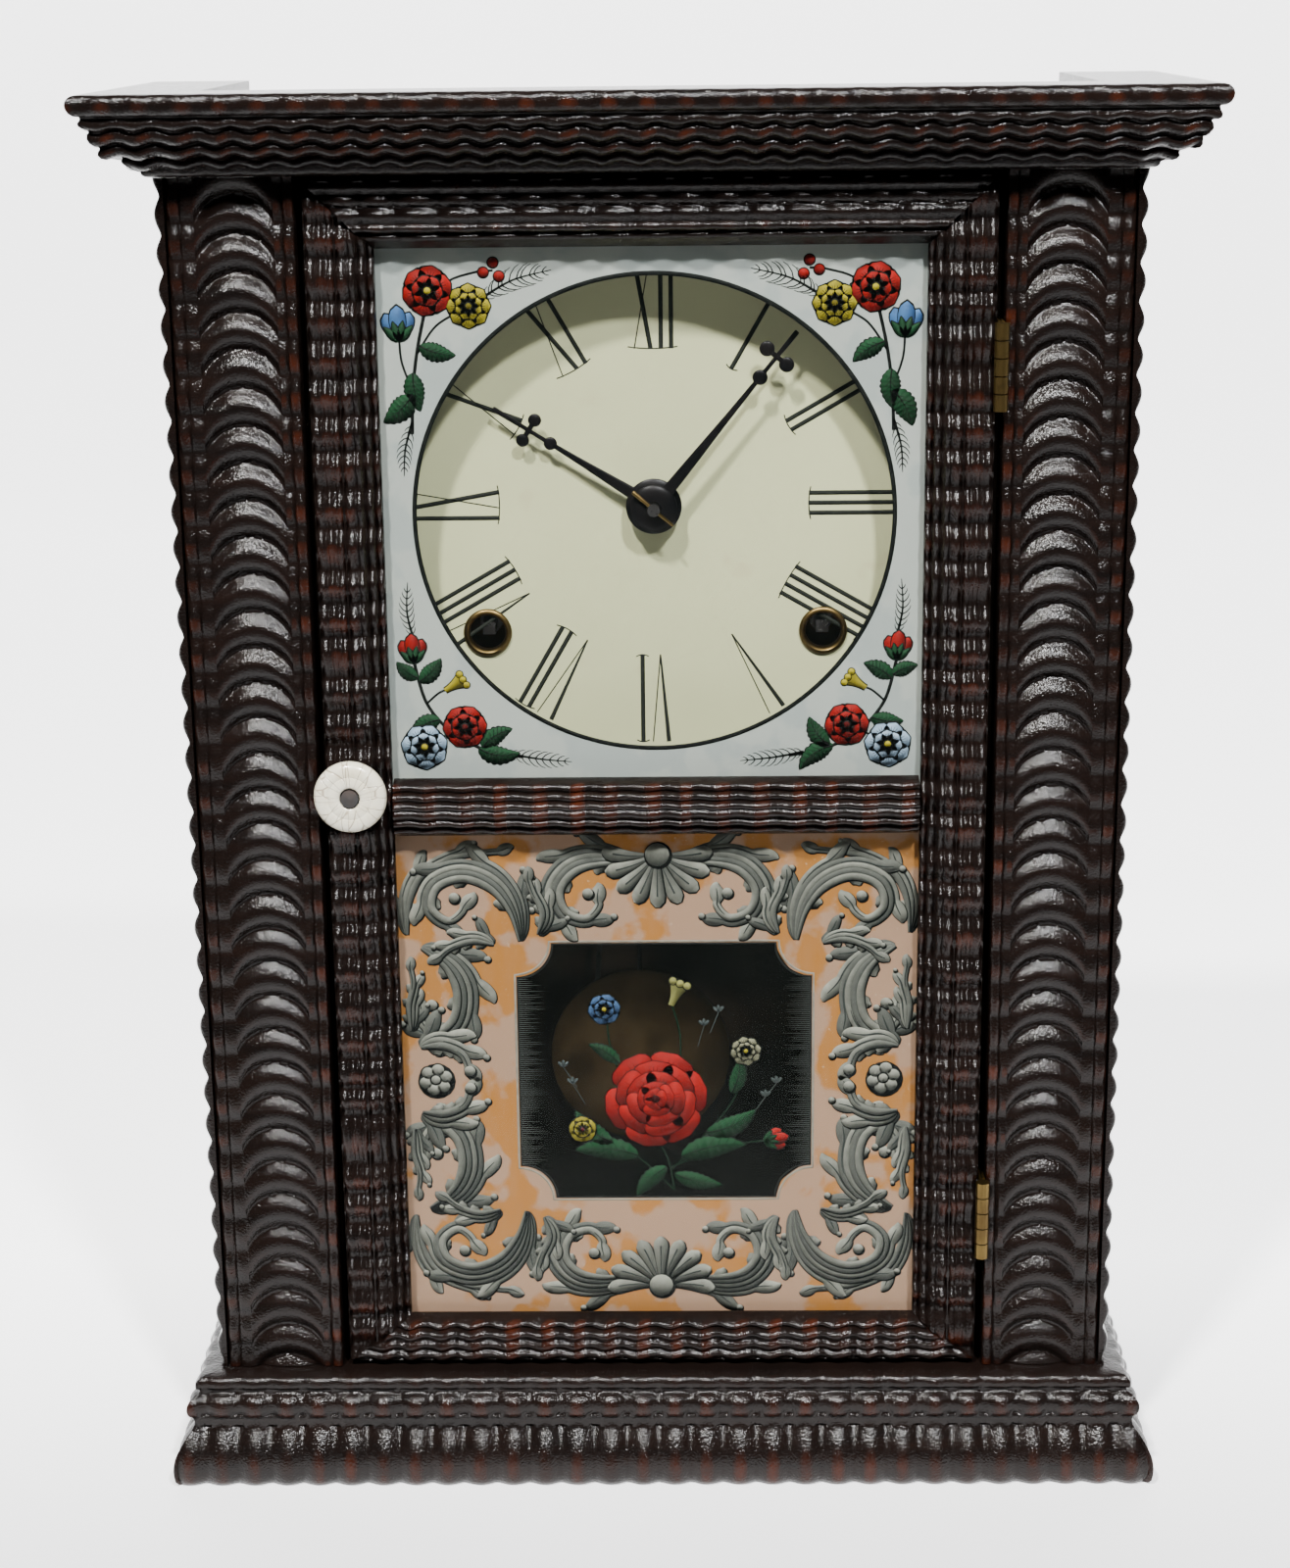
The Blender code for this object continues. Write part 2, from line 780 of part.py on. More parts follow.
def bore_knob_hole():
    # The shaft of the knob runs through the left stile.
    stile = bpy.data.objects["door_left_stile"]
    solid = bmesh.new()
    solid.from_mesh(stile.data)
    bmesh.ops.translate(solid, verts=solid.verts, vec=stile.location)
    tool = rod(knob_shaft_radius + running_gap, -door_thickness, 2 * door_thickness, knob_x, knob_z, 14)
    solid = cut(solid, [tool])
    bmesh.ops.translate(solid, verts=solid.verts, vec=-stile.location)
    solid.to_mesh(stile.data)
    solid.free()
    stile.data.shade_smooth()
    stile.data.set_sharp_from_angle(angle=math.radians(30))


# Dial


def winding_points():
    z = dial_centre_z - winding_drop
    return (winding_spacing / 2, z), (-winding_spacing / 2, z)


def make_dial():
    half = dial_width / 2
    low = (-half, at_depth(dial_depth), dial_centre_z - dial_height / 2)
    high = (half, at_depth(dial_depth + dial_thickness), dial_centre_z + dial_height / 2)
    tools = [rod(dial_hole_radius, 0, 2 * dial_depth, 0, dial_centre_z, 16)]
    tube_outer = grommet_bore_radius + grommet_wall
    for x, z in winding_points():
        tools.append(rod(tube_outer + fit_gap, 0, 2 * dial_depth, x, z, 20))
    add_object("dial_plate", cut(box(low, high), tools), "paint")

    # The dial slides in a groove along each block.
    outer = inner_half - fit_gap
    inner = outer - dial_block_width
    bottom = dial_centre_z - dial_block_height / 2
    front = dial_depth - dial_block_lip
    groove_front = dial_depth - fit_gap
    groove_back = dial_depth + dial_thickness + fit_gap
    back = groove_back + dial_block_thickness
    deep = half + fit_gap
    section = [
        (inner, front), (outer, front), (outer, back), (inner, back),
        (inner, groove_back), (deep, groove_back), (deep, groove_front), (inner, groove_front),
    ]
    levels = (bottom, bottom + dial_block_height)
    for name, sign in (("left_dial_block", -1), ("right_dial_block", 1)):
        rings = [[(sign * x, at_depth(depth), z) for x, depth in section] for z in levels]
        add_object(name, loft(rings), "pine")

    tube_back = dial_depth + grommet_tube_length
    flange_back = dial_depth - fit_gap
    flange = grommet_flange
    profile = [
        (grommet_bore_radius, tube_back), (tube_outer, tube_back), (tube_outer, flange_back),
        (grommet_radius, flange_back), (grommet_radius - 0.4 * flange, flange_back - 0.6 * flange),
        (tube_outer, flange_back - flange), (grommet_bore_radius, flange_back - 0.7 * flange),
    ]
    for name, (x, z) in zip(("right_winding_grommet", "left_winding_grommet"), winding_points()):
        add_object(name, turned(profile, (x, front_y, z), segments=16, ring=True), "brass")


# Hands


def disc(centre, radius, front_depth, swell, segments=14):
    # A round of the hand that stands a little proud of the blade on both faces.
    proud = swell * hand_thickness
    return rod(radius, front_depth - proud, front_depth + hand_thickness + proud, centre[0], centre[1], segments)


def hand_solid(angle, length, ball, cross, boss, ball_radius, root_width, front_depth):
    # The angle runs clockwise from twelve o'clock.
    way = math.radians(90 - angle)
    centre = (0, dial_centre_z)

    def point(along, across):
        return on_circle(on_circle(centre, along, way), across, way + math.pi / 2)

    tip = 0.28 * root_width
    neck = 0.35 * root_width
    outline = [
        point(0, -root_width / 2), point(ball, -neck / 2), point(length, -tip), point(length, tip),
        point(ball, neck / 2), point(0, root_width / 2),
    ]
    blade = plate_from_outline(outline, front_depth, hand_thickness)
    arm = 0.5 * ball_radius
    near = [point(cross - arm, -hand_ball_offset), point(cross + arm, -hand_ball_offset)]
    far = [point(cross + arm, hand_ball_offset), point(cross - arm, hand_ball_offset)]
    inset = 0.06 * hand_thickness
    bar = plate_from_outline(near + far, front_depth + inset, hand_thickness - 2 * inset)
    parts = [blade, bar, disc(centre, boss, front_depth, 0.1, 24)]
    parts.append(disc(point(ball, 0), ball_radius, front_depth, 0.07))
    for across in (-hand_ball_offset, hand_ball_offset):
        parts.append(disc(point(cross + arm, across), ball_radius, front_depth, 0.04))
    return union(parts)


def make_hands():
    axis = (0, front_y, dial_centre_z)
    hour = hand_solid(hour_hand_angle, hour_hand_length, hour_ball_distance, hour_cross_distance,
                      hour_boss_radius, hour_ball_radius, hour_root_width, hour_hand_depth)
    bore = rod(pipe_outer + fit_gap, 0, dial_depth, 0, dial_centre_z, 16)
    add_object("hour_hand", cut(hour, [bore]), "black_steel", axis)
    minute = hand_solid(minute_hand_angle, minute_hand_length, minute_ball_distance, minute_cross_distance,
                        minute_boss_radius, minute_ball_radius, minute_root_width, minute_hand_depth)
    bore = rod(centre_arbor_radius + fit_gap, 0, dial_depth, 0, dial_centre_z, 16)
    add_object("minute_hand", cut(minute, [bore]), "black_steel", axis)
    # The taper pin that keeps the hands on lies across the arbor's tip.
    pin = turned([(hand_pin_radius, -hand_pin_length / 2), (0.6 * hand_pin_radius, hand_pin_length / 2)],
                 (0, 0, 0), "X", 10)
    bmesh.ops.rotate(pin, verts=pin.verts, cent=(0, 0, 0), matrix=Matrix.Rotation(pin_turn, 3, "Y"))
    bmesh.ops.translate(pin, verts=pin.verts, vec=(0, at_depth(pin_depth), dial_centre_z))
    add_object("hand_pin", pin, "brass", axis)


# Movement


def arbor_places():
    # Where each arbor stands between the plates, as (x, z).
    right, left = winding_points()
    centre = (0.0, dial_centre_z)
    great_reach = pitch_radius(great_teeth + second_pinion_leaves, great_module)
    second_reach = pitch_radius(second_teeth + centre_pinion_leaves, second_module)
    second = circle_crossing(right, great_reach, centre, second_reach, -1)
    escape = (pendulum_x, pivot_z - verge_drop)
    centre_reach = pitch_radius(centre_teeth + third_pinion_leaves, centre_module)
    third_reach = pitch_radius(third_teeth + escape_pinion_leaves, third_module)
    third = circle_crossing(centre, centre_reach, escape, third_reach, -1)
    strike_second = (-second[0], second[1])
    count_reach = pitch_radius(count_teeth + count_pinion_leaves, count_module)
    count = on_circle(strike_second, count_reach, math.radians(count_arbor_angle))
    motion_reach = pitch_radius(cannon_teeth + motion_teeth, cannon_module)
    motion = on_circle(centre, motion_reach, math.radians(motion_arbor_angle))
    return {
        "time_great": right, "strike_great": left, "centre": centre, "second": second, "third": third,
        "escape": escape, "strike_second": strike_second, "count": count, "motion": motion,
        "hammer": (hammer_x, hammer_z),
    }


places = arbor_places()


def pillar_points():
    x = plate_width / 2 - pillar_inset_x
    low = plate_bottom + pillar_inset_z
    high = plate_top - pillar_inset_z
    return [(sx * x, z) for sx in (-1, 1) for z in (low, high)]


def plate_blank(front_depth):
    half = plate_width / 2
    low = (-half, at_depth(front_depth), plate_bottom)
    return box(low, (half, at_depth(front_depth + plate_thickness), plate_top))


def hole(place, radius, segments=12):
    return rod(radius + running_gap, dial_depth, case_depth, place[0], place[1], segments)


def make_plates():
    front_tools = [hole(places[name], winding_arbor_radius) for name in ("time_great", "strike_great")]
    front_tools.append(hole(places["centre"], centre_arbor_radius))
    front_tools.append(hole(places["escape"], slim_arbor_radius))
    for name in ("second", "third", "strike_second", "hammer"):
        front_tools.append(hole(places[name], pivot_radius, 8))
    front_tools += [hole(point, pillar_radius / 2, 8) for point in pillar_points()]
    front = cut(plate_blank(front_plate_depth), front_tools)
    # Two studs are riveted into the front plate, for the motion wheel and the count wheel.
    x, z = places["motion"]
    root = front_plate_depth + seam
    front = combine(front, rod(arbor_radius, hour_wheel_depth - 2 * seam, root, x, z))
    x, z = places["count"]
    front = combine(front, rod(arbor_radius, root, count_depth + 2 * wheel_thickness, x, z))
    add_object("movement_front_plate", front, "brass")

    # The pillars are riveted to the back plate, and their feet stand on the back board.
    names = ("time_great", "strike_great", "centre", "second", "third", "escape", "strike_second")
    back_tools = [hole(places[name], pivot_radius, 8) for name in names]
    back_tools.append(hole(places["hammer"], arbor_radius))
    back = cut(plate_blank(back_plate_depth), back_tools)
    for x, z in pillar_points():
        profile = [
            (pillar_radius / 2, front_plate_depth - rivet_reach), (pillar_radius / 2, plate_inside),
            (pillar_radius, plate_inside), (pillar_radius, foot_depth),
        ]
        back = combine(back, turned(profile, (x, front_y, z), segments=10))
    add_object("movement_back_plate", back, "brass")


def arbor_solid(place, radius, front_depth, back_depth):
    # A bar with a thinner pivot in each plate.
    profile = []
    if front_depth < plate_inside:
        profile += [(radius, front_depth)]
    else:
        profile += [(pivot_radius, front_plate_depth), (pivot_radius, plate_inside), (radius, plate_inside)]
    shoulder = back_plate_depth - running_gap
    if back_depth > shoulder:
        profile += [(radius, shoulder), (pivot_radius, shoulder), (pivot_radius, plate_centre_back)]
    else:
        profile += [(radius, back_depth)]
    return turned(profile, (place[0], front_y, place[1]), segments=10)


def add_wheel(name, solids, place, kind="brass"):
    add_object(name, union(solids), kind, (place[0], front_y, place[1]))


def make_winding(side, place, meshing_place):
    # The great wheel rides loose on the winding arbor, which the ratchet turns with.
    x, z = place
    facing = direction(place, meshing_place)
    wheel = gear(place, great_teeth, great_module, great_depth, wheel_thickness, facing)
    wheel = cut(wheel, [hole(place, winding_arbor_radius)])
    add_object(side + "_great_wheel", wheel, "brass", (x, front_y, z))
    shoulder = front_plate_depth - rivet_reach
    size = winding_square_share * winding_arbor_radius
    front = dial_depth + winding_square_set_back
    square = turned([(size, front), (size, shoulder + seam)], (x, front_y, z), segments=4)
    body = arbor_solid(place, winding_arbor_radius, shoulder, case_depth)
    ratchet_depth = great_depth + wheel_thickness + running_gap
    ratchet = gear(place, ratchet_teeth, 2 * ratchet_radius / ratchet_teeth, ratchet_depth, wheel_thickness, 0)
    add_wheel(side + "_winding_arbor", [body, square, ratchet], place, "steel")


def make_mainsprings():
    front = plate_inside + mainspring_set_back
    lower_pillars = (pillar_points()[2], pillar_points()[0])
    for name, place, pillar in zip(("time_mainspring", "strike_mainspring"), winding_points(), lower_pillars):
        back = front + mainspring_width
        outer = mainspring_radius
        sleeve = [(mainspring_bore, front), (outer, front), (outer, back), (mainspring_bore, back)]
        coil = turned(sleeve, (place[0], front_y, place[1]), segments=24, ring=True)
        # The outer end of the spring runs down to its pillar.
        gap = math.dist(place, pillar) - pillar_radius - fit_gap
        way = direction(place, pillar)
        start = outer - mainspring_tail
        half = mainspring_tail / 2
        outline = []
        for along, across in ((start, -half), (gap, -half), (gap, half), (start, half)):
            outline.append(on_circle(on_circle(place, along, way), across, way + math.pi / 2))
        tail = plate_from_outline(outline, front + mainspring_tail, mainspring_width - 2 * mainspring_tail)
        add_object(name, combine(coil, tail), "steel")


def make_time_train():
    centre = places["centre"]
    second = places["second"]
    third = places["third"]
    escape = places["escape"]
    motion = places["motion"]
    make_winding("time", places["time_great"], second)

    facing = direction(second, places["time_great"])
    pinion = leaves(second, second_pinion_leaves, great_module, great_depth, facing)
    wheel = disc_wheel(second, second_teeth, second_module, second_wheel_depth, direction(second, centre))
    body = arbor_solid(second, arbor_radius, case_depth, case_depth)
    add_wheel("second_wheel", [body, pinion, wheel], second)

    # The centre wheel is a friction fit on its arbor, so the hands can be set without the train.
    pinion = leaves(centre, centre_pinion_leaves, second_module, second_wheel_depth, direction(centre, second))
    wheel = disc_wheel(centre, centre_teeth, centre_module, centre_wheel_depth, direction(centre, third))
    sleeve = rod(pipe_outer, centre_wheel_depth - seam, second_wheel_depth, 0, dial_centre_z, 12)
    solid = cut(union([sleeve, pinion, wheel]), [hole(centre, centre_arbor_radius)])
    add_object("centre_wheel", solid, "brass", (0, front_y, dial_centre_z))

    cannon_front = hour_wheel_depth + wheel_thickness + running_gap
    cannon = gear(centre, cannon_teeth, cannon_module, cannon_front, pinion_length, direction(centre, motion))
    body = arbor_solid(centre, centre_arbor_radius, arbor_tip_depth, case_depth)
    solid = union([body, cannon])
    bore = hand_pin_hole_radius
    tool = turned([(bore, -2 * centre_arbor_radius), (bore, 2 * centre_arbor_radius)], (0, 0, 0), "X", 10)
    bmesh.ops.rotate(tool, verts=tool.verts, cent=(0, 0, 0), matrix=Matrix.Rotation(pin_turn, 3, "Y"))
    bmesh.ops.translate(tool, verts=tool.verts, vec=(0, at_depth(pin_depth), dial_centre_z))
    add_object("centre_arbor", cut(solid, [tool]), "steel", (0, front_y, dial_centre_z))

    pinion = leaves(third, third_pinion_leaves, centre_module, centre_wheel_depth, direction(third, centre))
    wheel = disc_wheel(third, third_teeth, third_module, third_wheel_depth, direction(third, escape))
    body = arbor_solid(third, slim_arbor_radius, case_depth, case_depth)
    add_wheel("third_wheel", [body, pinion, wheel], third)

    pinion = leaves(escape, escape_pinion_leaves, third_module, third_wheel_depth, direction(escape, third))
    body = arbor_solid(escape, slim_arbor_radius, escape_depth, case_depth)
    add_wheel("escape_wheel", [body, pinion, escape_disc(escape)], escape)

    hour_module = 2 * math.dist(centre, motion) / (hour_teeth + motion_pinion_leaves)
    facing = direction(motion, centre)
    wheel = gear(motion, motion_teeth, cannon_module, motion_depth, wheel_thickness, facing, False)
    length = motion_depth - hour_wheel_depth + 2 * seam
    pinion = gear(motion, motion_pinion_leaves, hour_module, hour_wheel_depth - seam, length, facing, False)
    solid = combine(wheel, pinion)
    add_object("motion_wheel", cut(solid, [hole(motion, arbor_radius)]), "brass", (motion[0], front_y, motion[1]))

    wheel = disc_wheel(centre, hour_teeth, hour_module, hour_wheel_depth, direction(centre, motion))
    pipe = rod(pipe_outer, hour_hand_depth - seam, hour_wheel_depth + seam, 0, dial_centre_z, 16)
    solid = combine(wheel, pipe)
    bore = rod(pipe_radius, 0, plate_inside, 0, dial_centre_z, 16)
    add_object("hour_wheel", cut(solid, [bore]), "brass", (0, front_y, dial_centre_z))


def escape_disc(place):
    # Raked teeth: each tip leans forward of its root.
    root = escape_radius - escape_tooth_height
    step = 2 * math.pi / escape_teeth
    outline = []
    for i in range(escape_teeth):
        outline.append(on_circle(place, escape_radius, -i * step))
        outline.append(on_circle(place, root, -(i + 0.3) * step))
    return plate_from_outline(outline, escape_depth, wheel_thickness)


def make_escapement():
    pivot = (pendulum_x, pivot_z)
    axis = (pivot[0], front_y, pivot[1])
    # The strip spans the escape wheel, with its pallets held clear of the teeth.
    right_side = [(5.0, 1.6), (9.4, -2.5), (10.6, -7.0), (9.4, -8.0), (8.0, -3.4), (4.0, -0.8)]
    scale = verge_drop / 19.6
    left_side = [(-x, z) for x, z in reversed(right_side)]
    points = [(0.0, 2.8)] + right_side + [(0.0, -2.4)] + left_side
    outline = [(pivot[0] + x * scale, pivot[1] + z * scale) for x, z in points]
    strip = plate_from_outline(outline, verge_depth, verge_thickness)
    crutch_front = rod_depth + rod_radius + fit_gap
    boss = rod(verge_hub_radius, crutch_front, verge_depth + verge_thickness, pivot[0], pivot[1], 12)
    foot = pivot[1] - crutch_length

    def bar(left, right, front, back, top):
        # A square bar that rises from the foot of the crutch.
        return box((pivot[0] + left, at_depth(front), foot), (pivot[0] + right, at_depth(back), top))

    wire_back = crutch_front + crutch_wire
    fork_top = foot + fork_height
    wire = bar(-crutch_width / 2, crutch_width / 2, crutch_front, wire_back, pivot[1] - verge_hub_radius / 2)
    inner = rod_radius + running_gap
    outer = inner + fork_wall
    bridge = bar(-outer, outer, crutch_front, wire_back, fork_top)
    fork_front = rod_depth - rod_radius - seam
    fork_back = wire_back - seam / 2
    prongs = [bar(low, high, fork_front, fork_back, fork_top) for low, high in ((-outer, -inner), (inner, outer))]
    solid = union([strip, boss, wire, bridge] + prongs)
    bore = rod(verge_pin_radius + running_gap, 0, front_plate_depth, pivot[0], pivot[1], 10)
    add_object("verge", cut(solid, [bore]), "steel", axis)

    # The cock holds the verge pin and the block that the pendulum spring hangs from.
    web_front = verge_depth + verge_thickness + running_gap
    left = pivot[0] - cock_half_width
    right = pivot[0] + cock_half_width
    cock_top = pivot[1] + cock_height
    arm_low = pivot[1] + cock_arm_rise
    web_low = pivot[1] - 0.75 * cock_half_width
    web = box((left, at_depth(web_front), web_low), (right, at_depth(front_plate_depth - fit_gap), cock_top))
    arm_front = rod_depth - cock_half_width / 2
    arm = box((left, at_depth(arm_front), arm_low), (right, at_depth(web_front + seam), cock_top))
    post = rod(verge_pin_radius, crutch_front, web_front + seam, pivot[0], pivot[1], 10)
    add_object("suspension_cock", union([web, arm, post]), "brass")

    # The rod starts as a thin spring and ends in the bob.
    rod_low = bob_height - 0.3 * bob_radius
    spring_low = pivot[1] - spring_length
    half = spring_thickness / 2
    near = (pivot[0] - half, at_depth(rod_depth - spring_half_width), spring_low - seam)
    spring = box(near, (pivot[0] + half, at_depth(rod_depth + rod_radius), arm_low - fit_gap))
    wire = turned([(rod_radius, rod_low), (rod_radius, spring_low)], (pivot[0], at_depth(rod_depth), 0), "Z", 8)
    add_object("pendulum_rod", combine(wire, spring), "steel", axis)
    half = bob_thickness / 2
    rim = 0.25 * half
    front_face = [(0, -half), (0.55 * bob_radius, -0.75 * half), (0.9 * bob_radius, -0.4 * half)]
    front_face.append((bob_radius, -rim))
    back_face = [(radius, -offset) for radius, offset in reversed(front_face)]
    profile = [(radius, rod_depth + offset) for radius, offset in front_face + back_face]
    bob = turned(profile, (pivot[0], front_y, bob_height), segments=28)
    bore = rod_radius + fit_gap
    reach = [(bore, rod_low - fit_gap), (bore, bob_height + 2 * bob_radius)]
    tool = turned(reach, (pivot[0], at_depth(rod_depth), 0), "Z", 8)
    add_object("pendulum_bob", cut(bob, [tool]), "brass", axis)


def make_strike_train():
    place = places["strike_second"]
    make_winding("strike", places["strike_great"], place)
    great = places["strike_great"]
    count = places["count"]
    pinion = leaves(place, second_pinion_leaves, great_module, great_depth, direction(place, great))
    wheel = disc_wheel(place, second_teeth, second_module, strike_second_depth, 0)
    driver = leaves(place, count_pinion_leaves, count_module, count_depth, direction(place, count))
    body = arbor_solid(place, arbor_radius, case_depth, case_depth)
    add_wheel("strike_second_wheel", [body, pinion, wheel, driver], place)
    wheel = disc_wheel(count, count_teeth, count_module, count_depth, direction(count, place))
    add_object("count_wheel", cut(wheel, [hole(count, arbor_radius)]), "brass", (count[0], front_y, count[1]))


def make_hammer():
    # The hammer hangs beside the outer turn of the gong.
    x, z = places["hammer"]
    coil_left = gong_x - gong_radius - gong_wire / 2
    head_right = coil_left - hammer_gap
    head_left = head_right - hammer_head_length
    head_middle = (head_left + head_right) / 2
    head = turned([(hammer_head_radius, head_left), (hammer_head_radius, head_right)],
                  (0, at_depth(hammer_depth), gong_z), "X", 10)
    half = hammer_wire / 2
    outline = [(x - half, z), (head_middle - half, gong_z), (head_middle + half, gong_z), (x + half, z)]
    arm = plate_from_outline(outline, hammer_depth - half, hammer_wire)
    profile = [
        (pivot_radius, front_plate_depth), (pivot_radius, plate_inside),
        (arbor_radius, plate_inside), (arbor_radius, hammer_depth + half),
    ]
    body = turned(profile, (x, front_y, z), segments=10)
    add_wheel("hammer", [body, arm, head], (x, z), "steel")


def make_gong():
    # A flat coil of strip wire: it starts inside the post of its iron base and winds outwards.
    per_turn = 24
    steps = per_turn * gong_turns
    start = gong_post_radius - gong_wire
    middle = gong_front_depth + gong_wire_depth / 2
    rings = []
    points = []
    for i in range(steps + 1):
        angle = math.pi + 2 * math.pi * i / per_turn
        radius = start + (gong_radius - start) * i / steps
        points.append(on_circle((gong_x, gong_z), radius, angle))
        ring = []
        for across, deep in ((-1, -1), (1, -1), (1, 1), (-1, 1)):
            px, pz = on_circle((gong_x, gong_z), radius + across * gong_wire / 2, angle)
            ring.append((px, at_depth(middle + deep * gong_wire_depth / 2), pz))
        rings.append(ring)
    apart = [
        math.dist(points[i], points[j])
        for i in range(per_turn, steps + 1)
        for j in range(i - per_turn // 2)
    ]
    print("least gap between the turns of the gong:", round((min(apart) - gong_wire) * 1000, 2), "mm")
    shoulder = foot_depth - gong_base_thickness
    profile = [
        (gong_post_radius, gong_front_depth - gong_wire), (gong_post_radius, shoulder),
        (gong_base_radius, shoulder), (gong_base_radius, foot_depth),
    ]
    base = turned(profile, (gong_x, front_y, gong_z), segments=16)
    add_object("gong", combine(base, loft(rings)), "iron")


def build_clock():
    for old in list(bpy.data.objects):
        bpy.data.objects.remove(old)
    make_base()
    make_boards()
    make_cornice()
    make_pilasters()
    make_side_boards()
    make_door_stiles()
    make_door_rails()
    make_mid_rail()
    make_glass()
    make_hinges()
    make_knob()
    bore_knob_hole()
    make_dial()
    make_hands()
    make_plates()
    make_mainsprings()
    make_time_train()
    make_escapement()
    make_strike_train()
    make_hammer()
    make_gong()


build_clock()
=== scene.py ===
import math
import random

import bmesh
import bpy
from mathutils import Matrix, Vector


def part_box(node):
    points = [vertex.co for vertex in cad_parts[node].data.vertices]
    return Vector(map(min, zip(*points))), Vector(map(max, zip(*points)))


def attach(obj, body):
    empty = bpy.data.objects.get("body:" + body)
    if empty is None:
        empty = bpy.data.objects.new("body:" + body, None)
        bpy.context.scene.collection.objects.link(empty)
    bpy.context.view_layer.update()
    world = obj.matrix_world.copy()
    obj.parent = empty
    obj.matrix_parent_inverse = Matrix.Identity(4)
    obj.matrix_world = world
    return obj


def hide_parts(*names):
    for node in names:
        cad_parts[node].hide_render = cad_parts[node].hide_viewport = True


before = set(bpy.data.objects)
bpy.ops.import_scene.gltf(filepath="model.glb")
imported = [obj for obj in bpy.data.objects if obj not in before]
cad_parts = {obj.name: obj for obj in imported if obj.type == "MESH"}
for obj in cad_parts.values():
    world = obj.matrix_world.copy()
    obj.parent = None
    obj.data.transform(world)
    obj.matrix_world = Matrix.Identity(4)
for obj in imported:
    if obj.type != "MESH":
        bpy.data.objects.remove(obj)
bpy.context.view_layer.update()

clock = {
    "halfWidth": 0.1237,  # to the flat of the sides
    "depth": 0.093,
    "baseTop": 0.0304,
    "corniceBottom": 0.3603,
    "sectionGap": 0.00012,  # hairline at mitres and joints
}
half = clock["halfWidth"]
sides = (("left", -1), ("right", 1))
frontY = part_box("left_pilaster")[0].y
dialLow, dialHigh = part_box("dial_plate")
dialZ = (dialLow.z + dialHigh.z) / 2
print("frame loaded, front face at", round(frontY, 5))


def atDepth(depth):
    return frontY + depth


def middleOf(box):
    low, high = box
    return (low + high) / 2


# nodes, for shaders and for geometry alike
class Amount:
    # a socket that adds and scales the way a number does
    def __init__(self, tree, socket):
        self.tree = tree
        self.socket = socket

    def sum(self, operation, first, second=0.0):
        node = self.tree.nodes.new("ShaderNodeMath")
        node.operation = operation
        plug(self.tree, node.inputs[0], first)
        plug(self.tree, node.inputs[1], second)
        return Amount(self.tree, node.outputs[0])

    def __add__(self, other):
        return self.sum("ADD", self, other)

    def __radd__(self, other):
        return self.sum("ADD", other, self)

    def __sub__(self, other):
        return self.sum("SUBTRACT", self, other)

    def __rsub__(self, other):
        return self.sum("SUBTRACT", other, self)

    def __mul__(self, other):
        return self.sum("MULTIPLY", self, other)

    def __rmul__(self, other):
        return self.sum("MULTIPLY", other, self)

    def __truediv__(self, other):
        return self.sum("DIVIDE", self, other)

    def __pow__(self, other):
        return self.sum("POWER", self, other)

    def sine(self):
        return self.sum("SINE", self)

    def cosine(self):
        return self.sum("COSINE", self)

    def atLeast(self, low):
        return self.sum("MAXIMUM", self, low)

    def atMost(self, high):
        return self.sum("MINIMUM", self, high)

    def between(self, low, high):
        # 0 below low, 1 above high
        return ((self - low) * (1 / (high - low))).atLeast(0.0).atMost(1.0)


def plug(tree, socket, value):
    if isinstance(value, Amount):
        value = value.socket
    if isinstance(value, bpy.types.NodeSocket):
        tree.links.new(value, socket)
    elif value is not None:
        socket.default_value = value


class Bench:
    # one node tree, and the only way that nodes other than Math go into it
    def __init__(self, tree):
        self.tree = tree

    def add(self, kind, settings=None, sockets=None):
        node = self.tree.nodes.new(kind)
        for key, value in (settings or {}).items():
            if key == "stops":
                while len(node.color_ramp.elements) < len(value):
                    node.color_ramp.elements.new(0.5)
                for element, (place, colour) in zip(node.color_ramp.elements, value):
                    element.position = place
                    element.color = (*colour, 1.0)
            else:
                setattr(node, key, value)
        for key, value in (sockets or {}).items():
            plug(self.tree, node.inputs[key], value)
        return node

    def result(self, kind, settings=None, sockets=None):
        return self.add(kind, settings, sockets).outputs[0]

    def amount(self, socket):
        return Amount(self.tree, socket)

    def axes(self, where):
        return [self.amount(part) for part in self.add("ShaderNodeSeparateXYZ", {}, {0: where}).outputs]

    def vector(self, x=0.0, y=0.0, z=0.0):
        return self.result("ShaderNodeCombineXYZ", {}, {0: x, 1: y, 2: z})

    def read(self, name, kind="FLOAT"):
        return self.amount(self.result("GeometryNodeInputNamedAttribute", {"data_type": kind}, {"Name": name}))

    def keep(self, geometry, name, value, kind="FLOAT"):
        settings = {"data_type": kind, "domain": "POINT"}
        sockets = {"Geometry": geometry, "Name": name, "Value": value}
        return self.result("GeometryNodeStoreNamedAttribute", settings, sockets)

    def position(self):
        return self.result("GeometryNodeInputPosition")

    def sweep(self, path, profile):
        sockets = {"Curve": path, "Profile Curve": profile, "Fill Caps": True}
        return self.result("GeometryNodeCurveToMesh", {}, sockets)


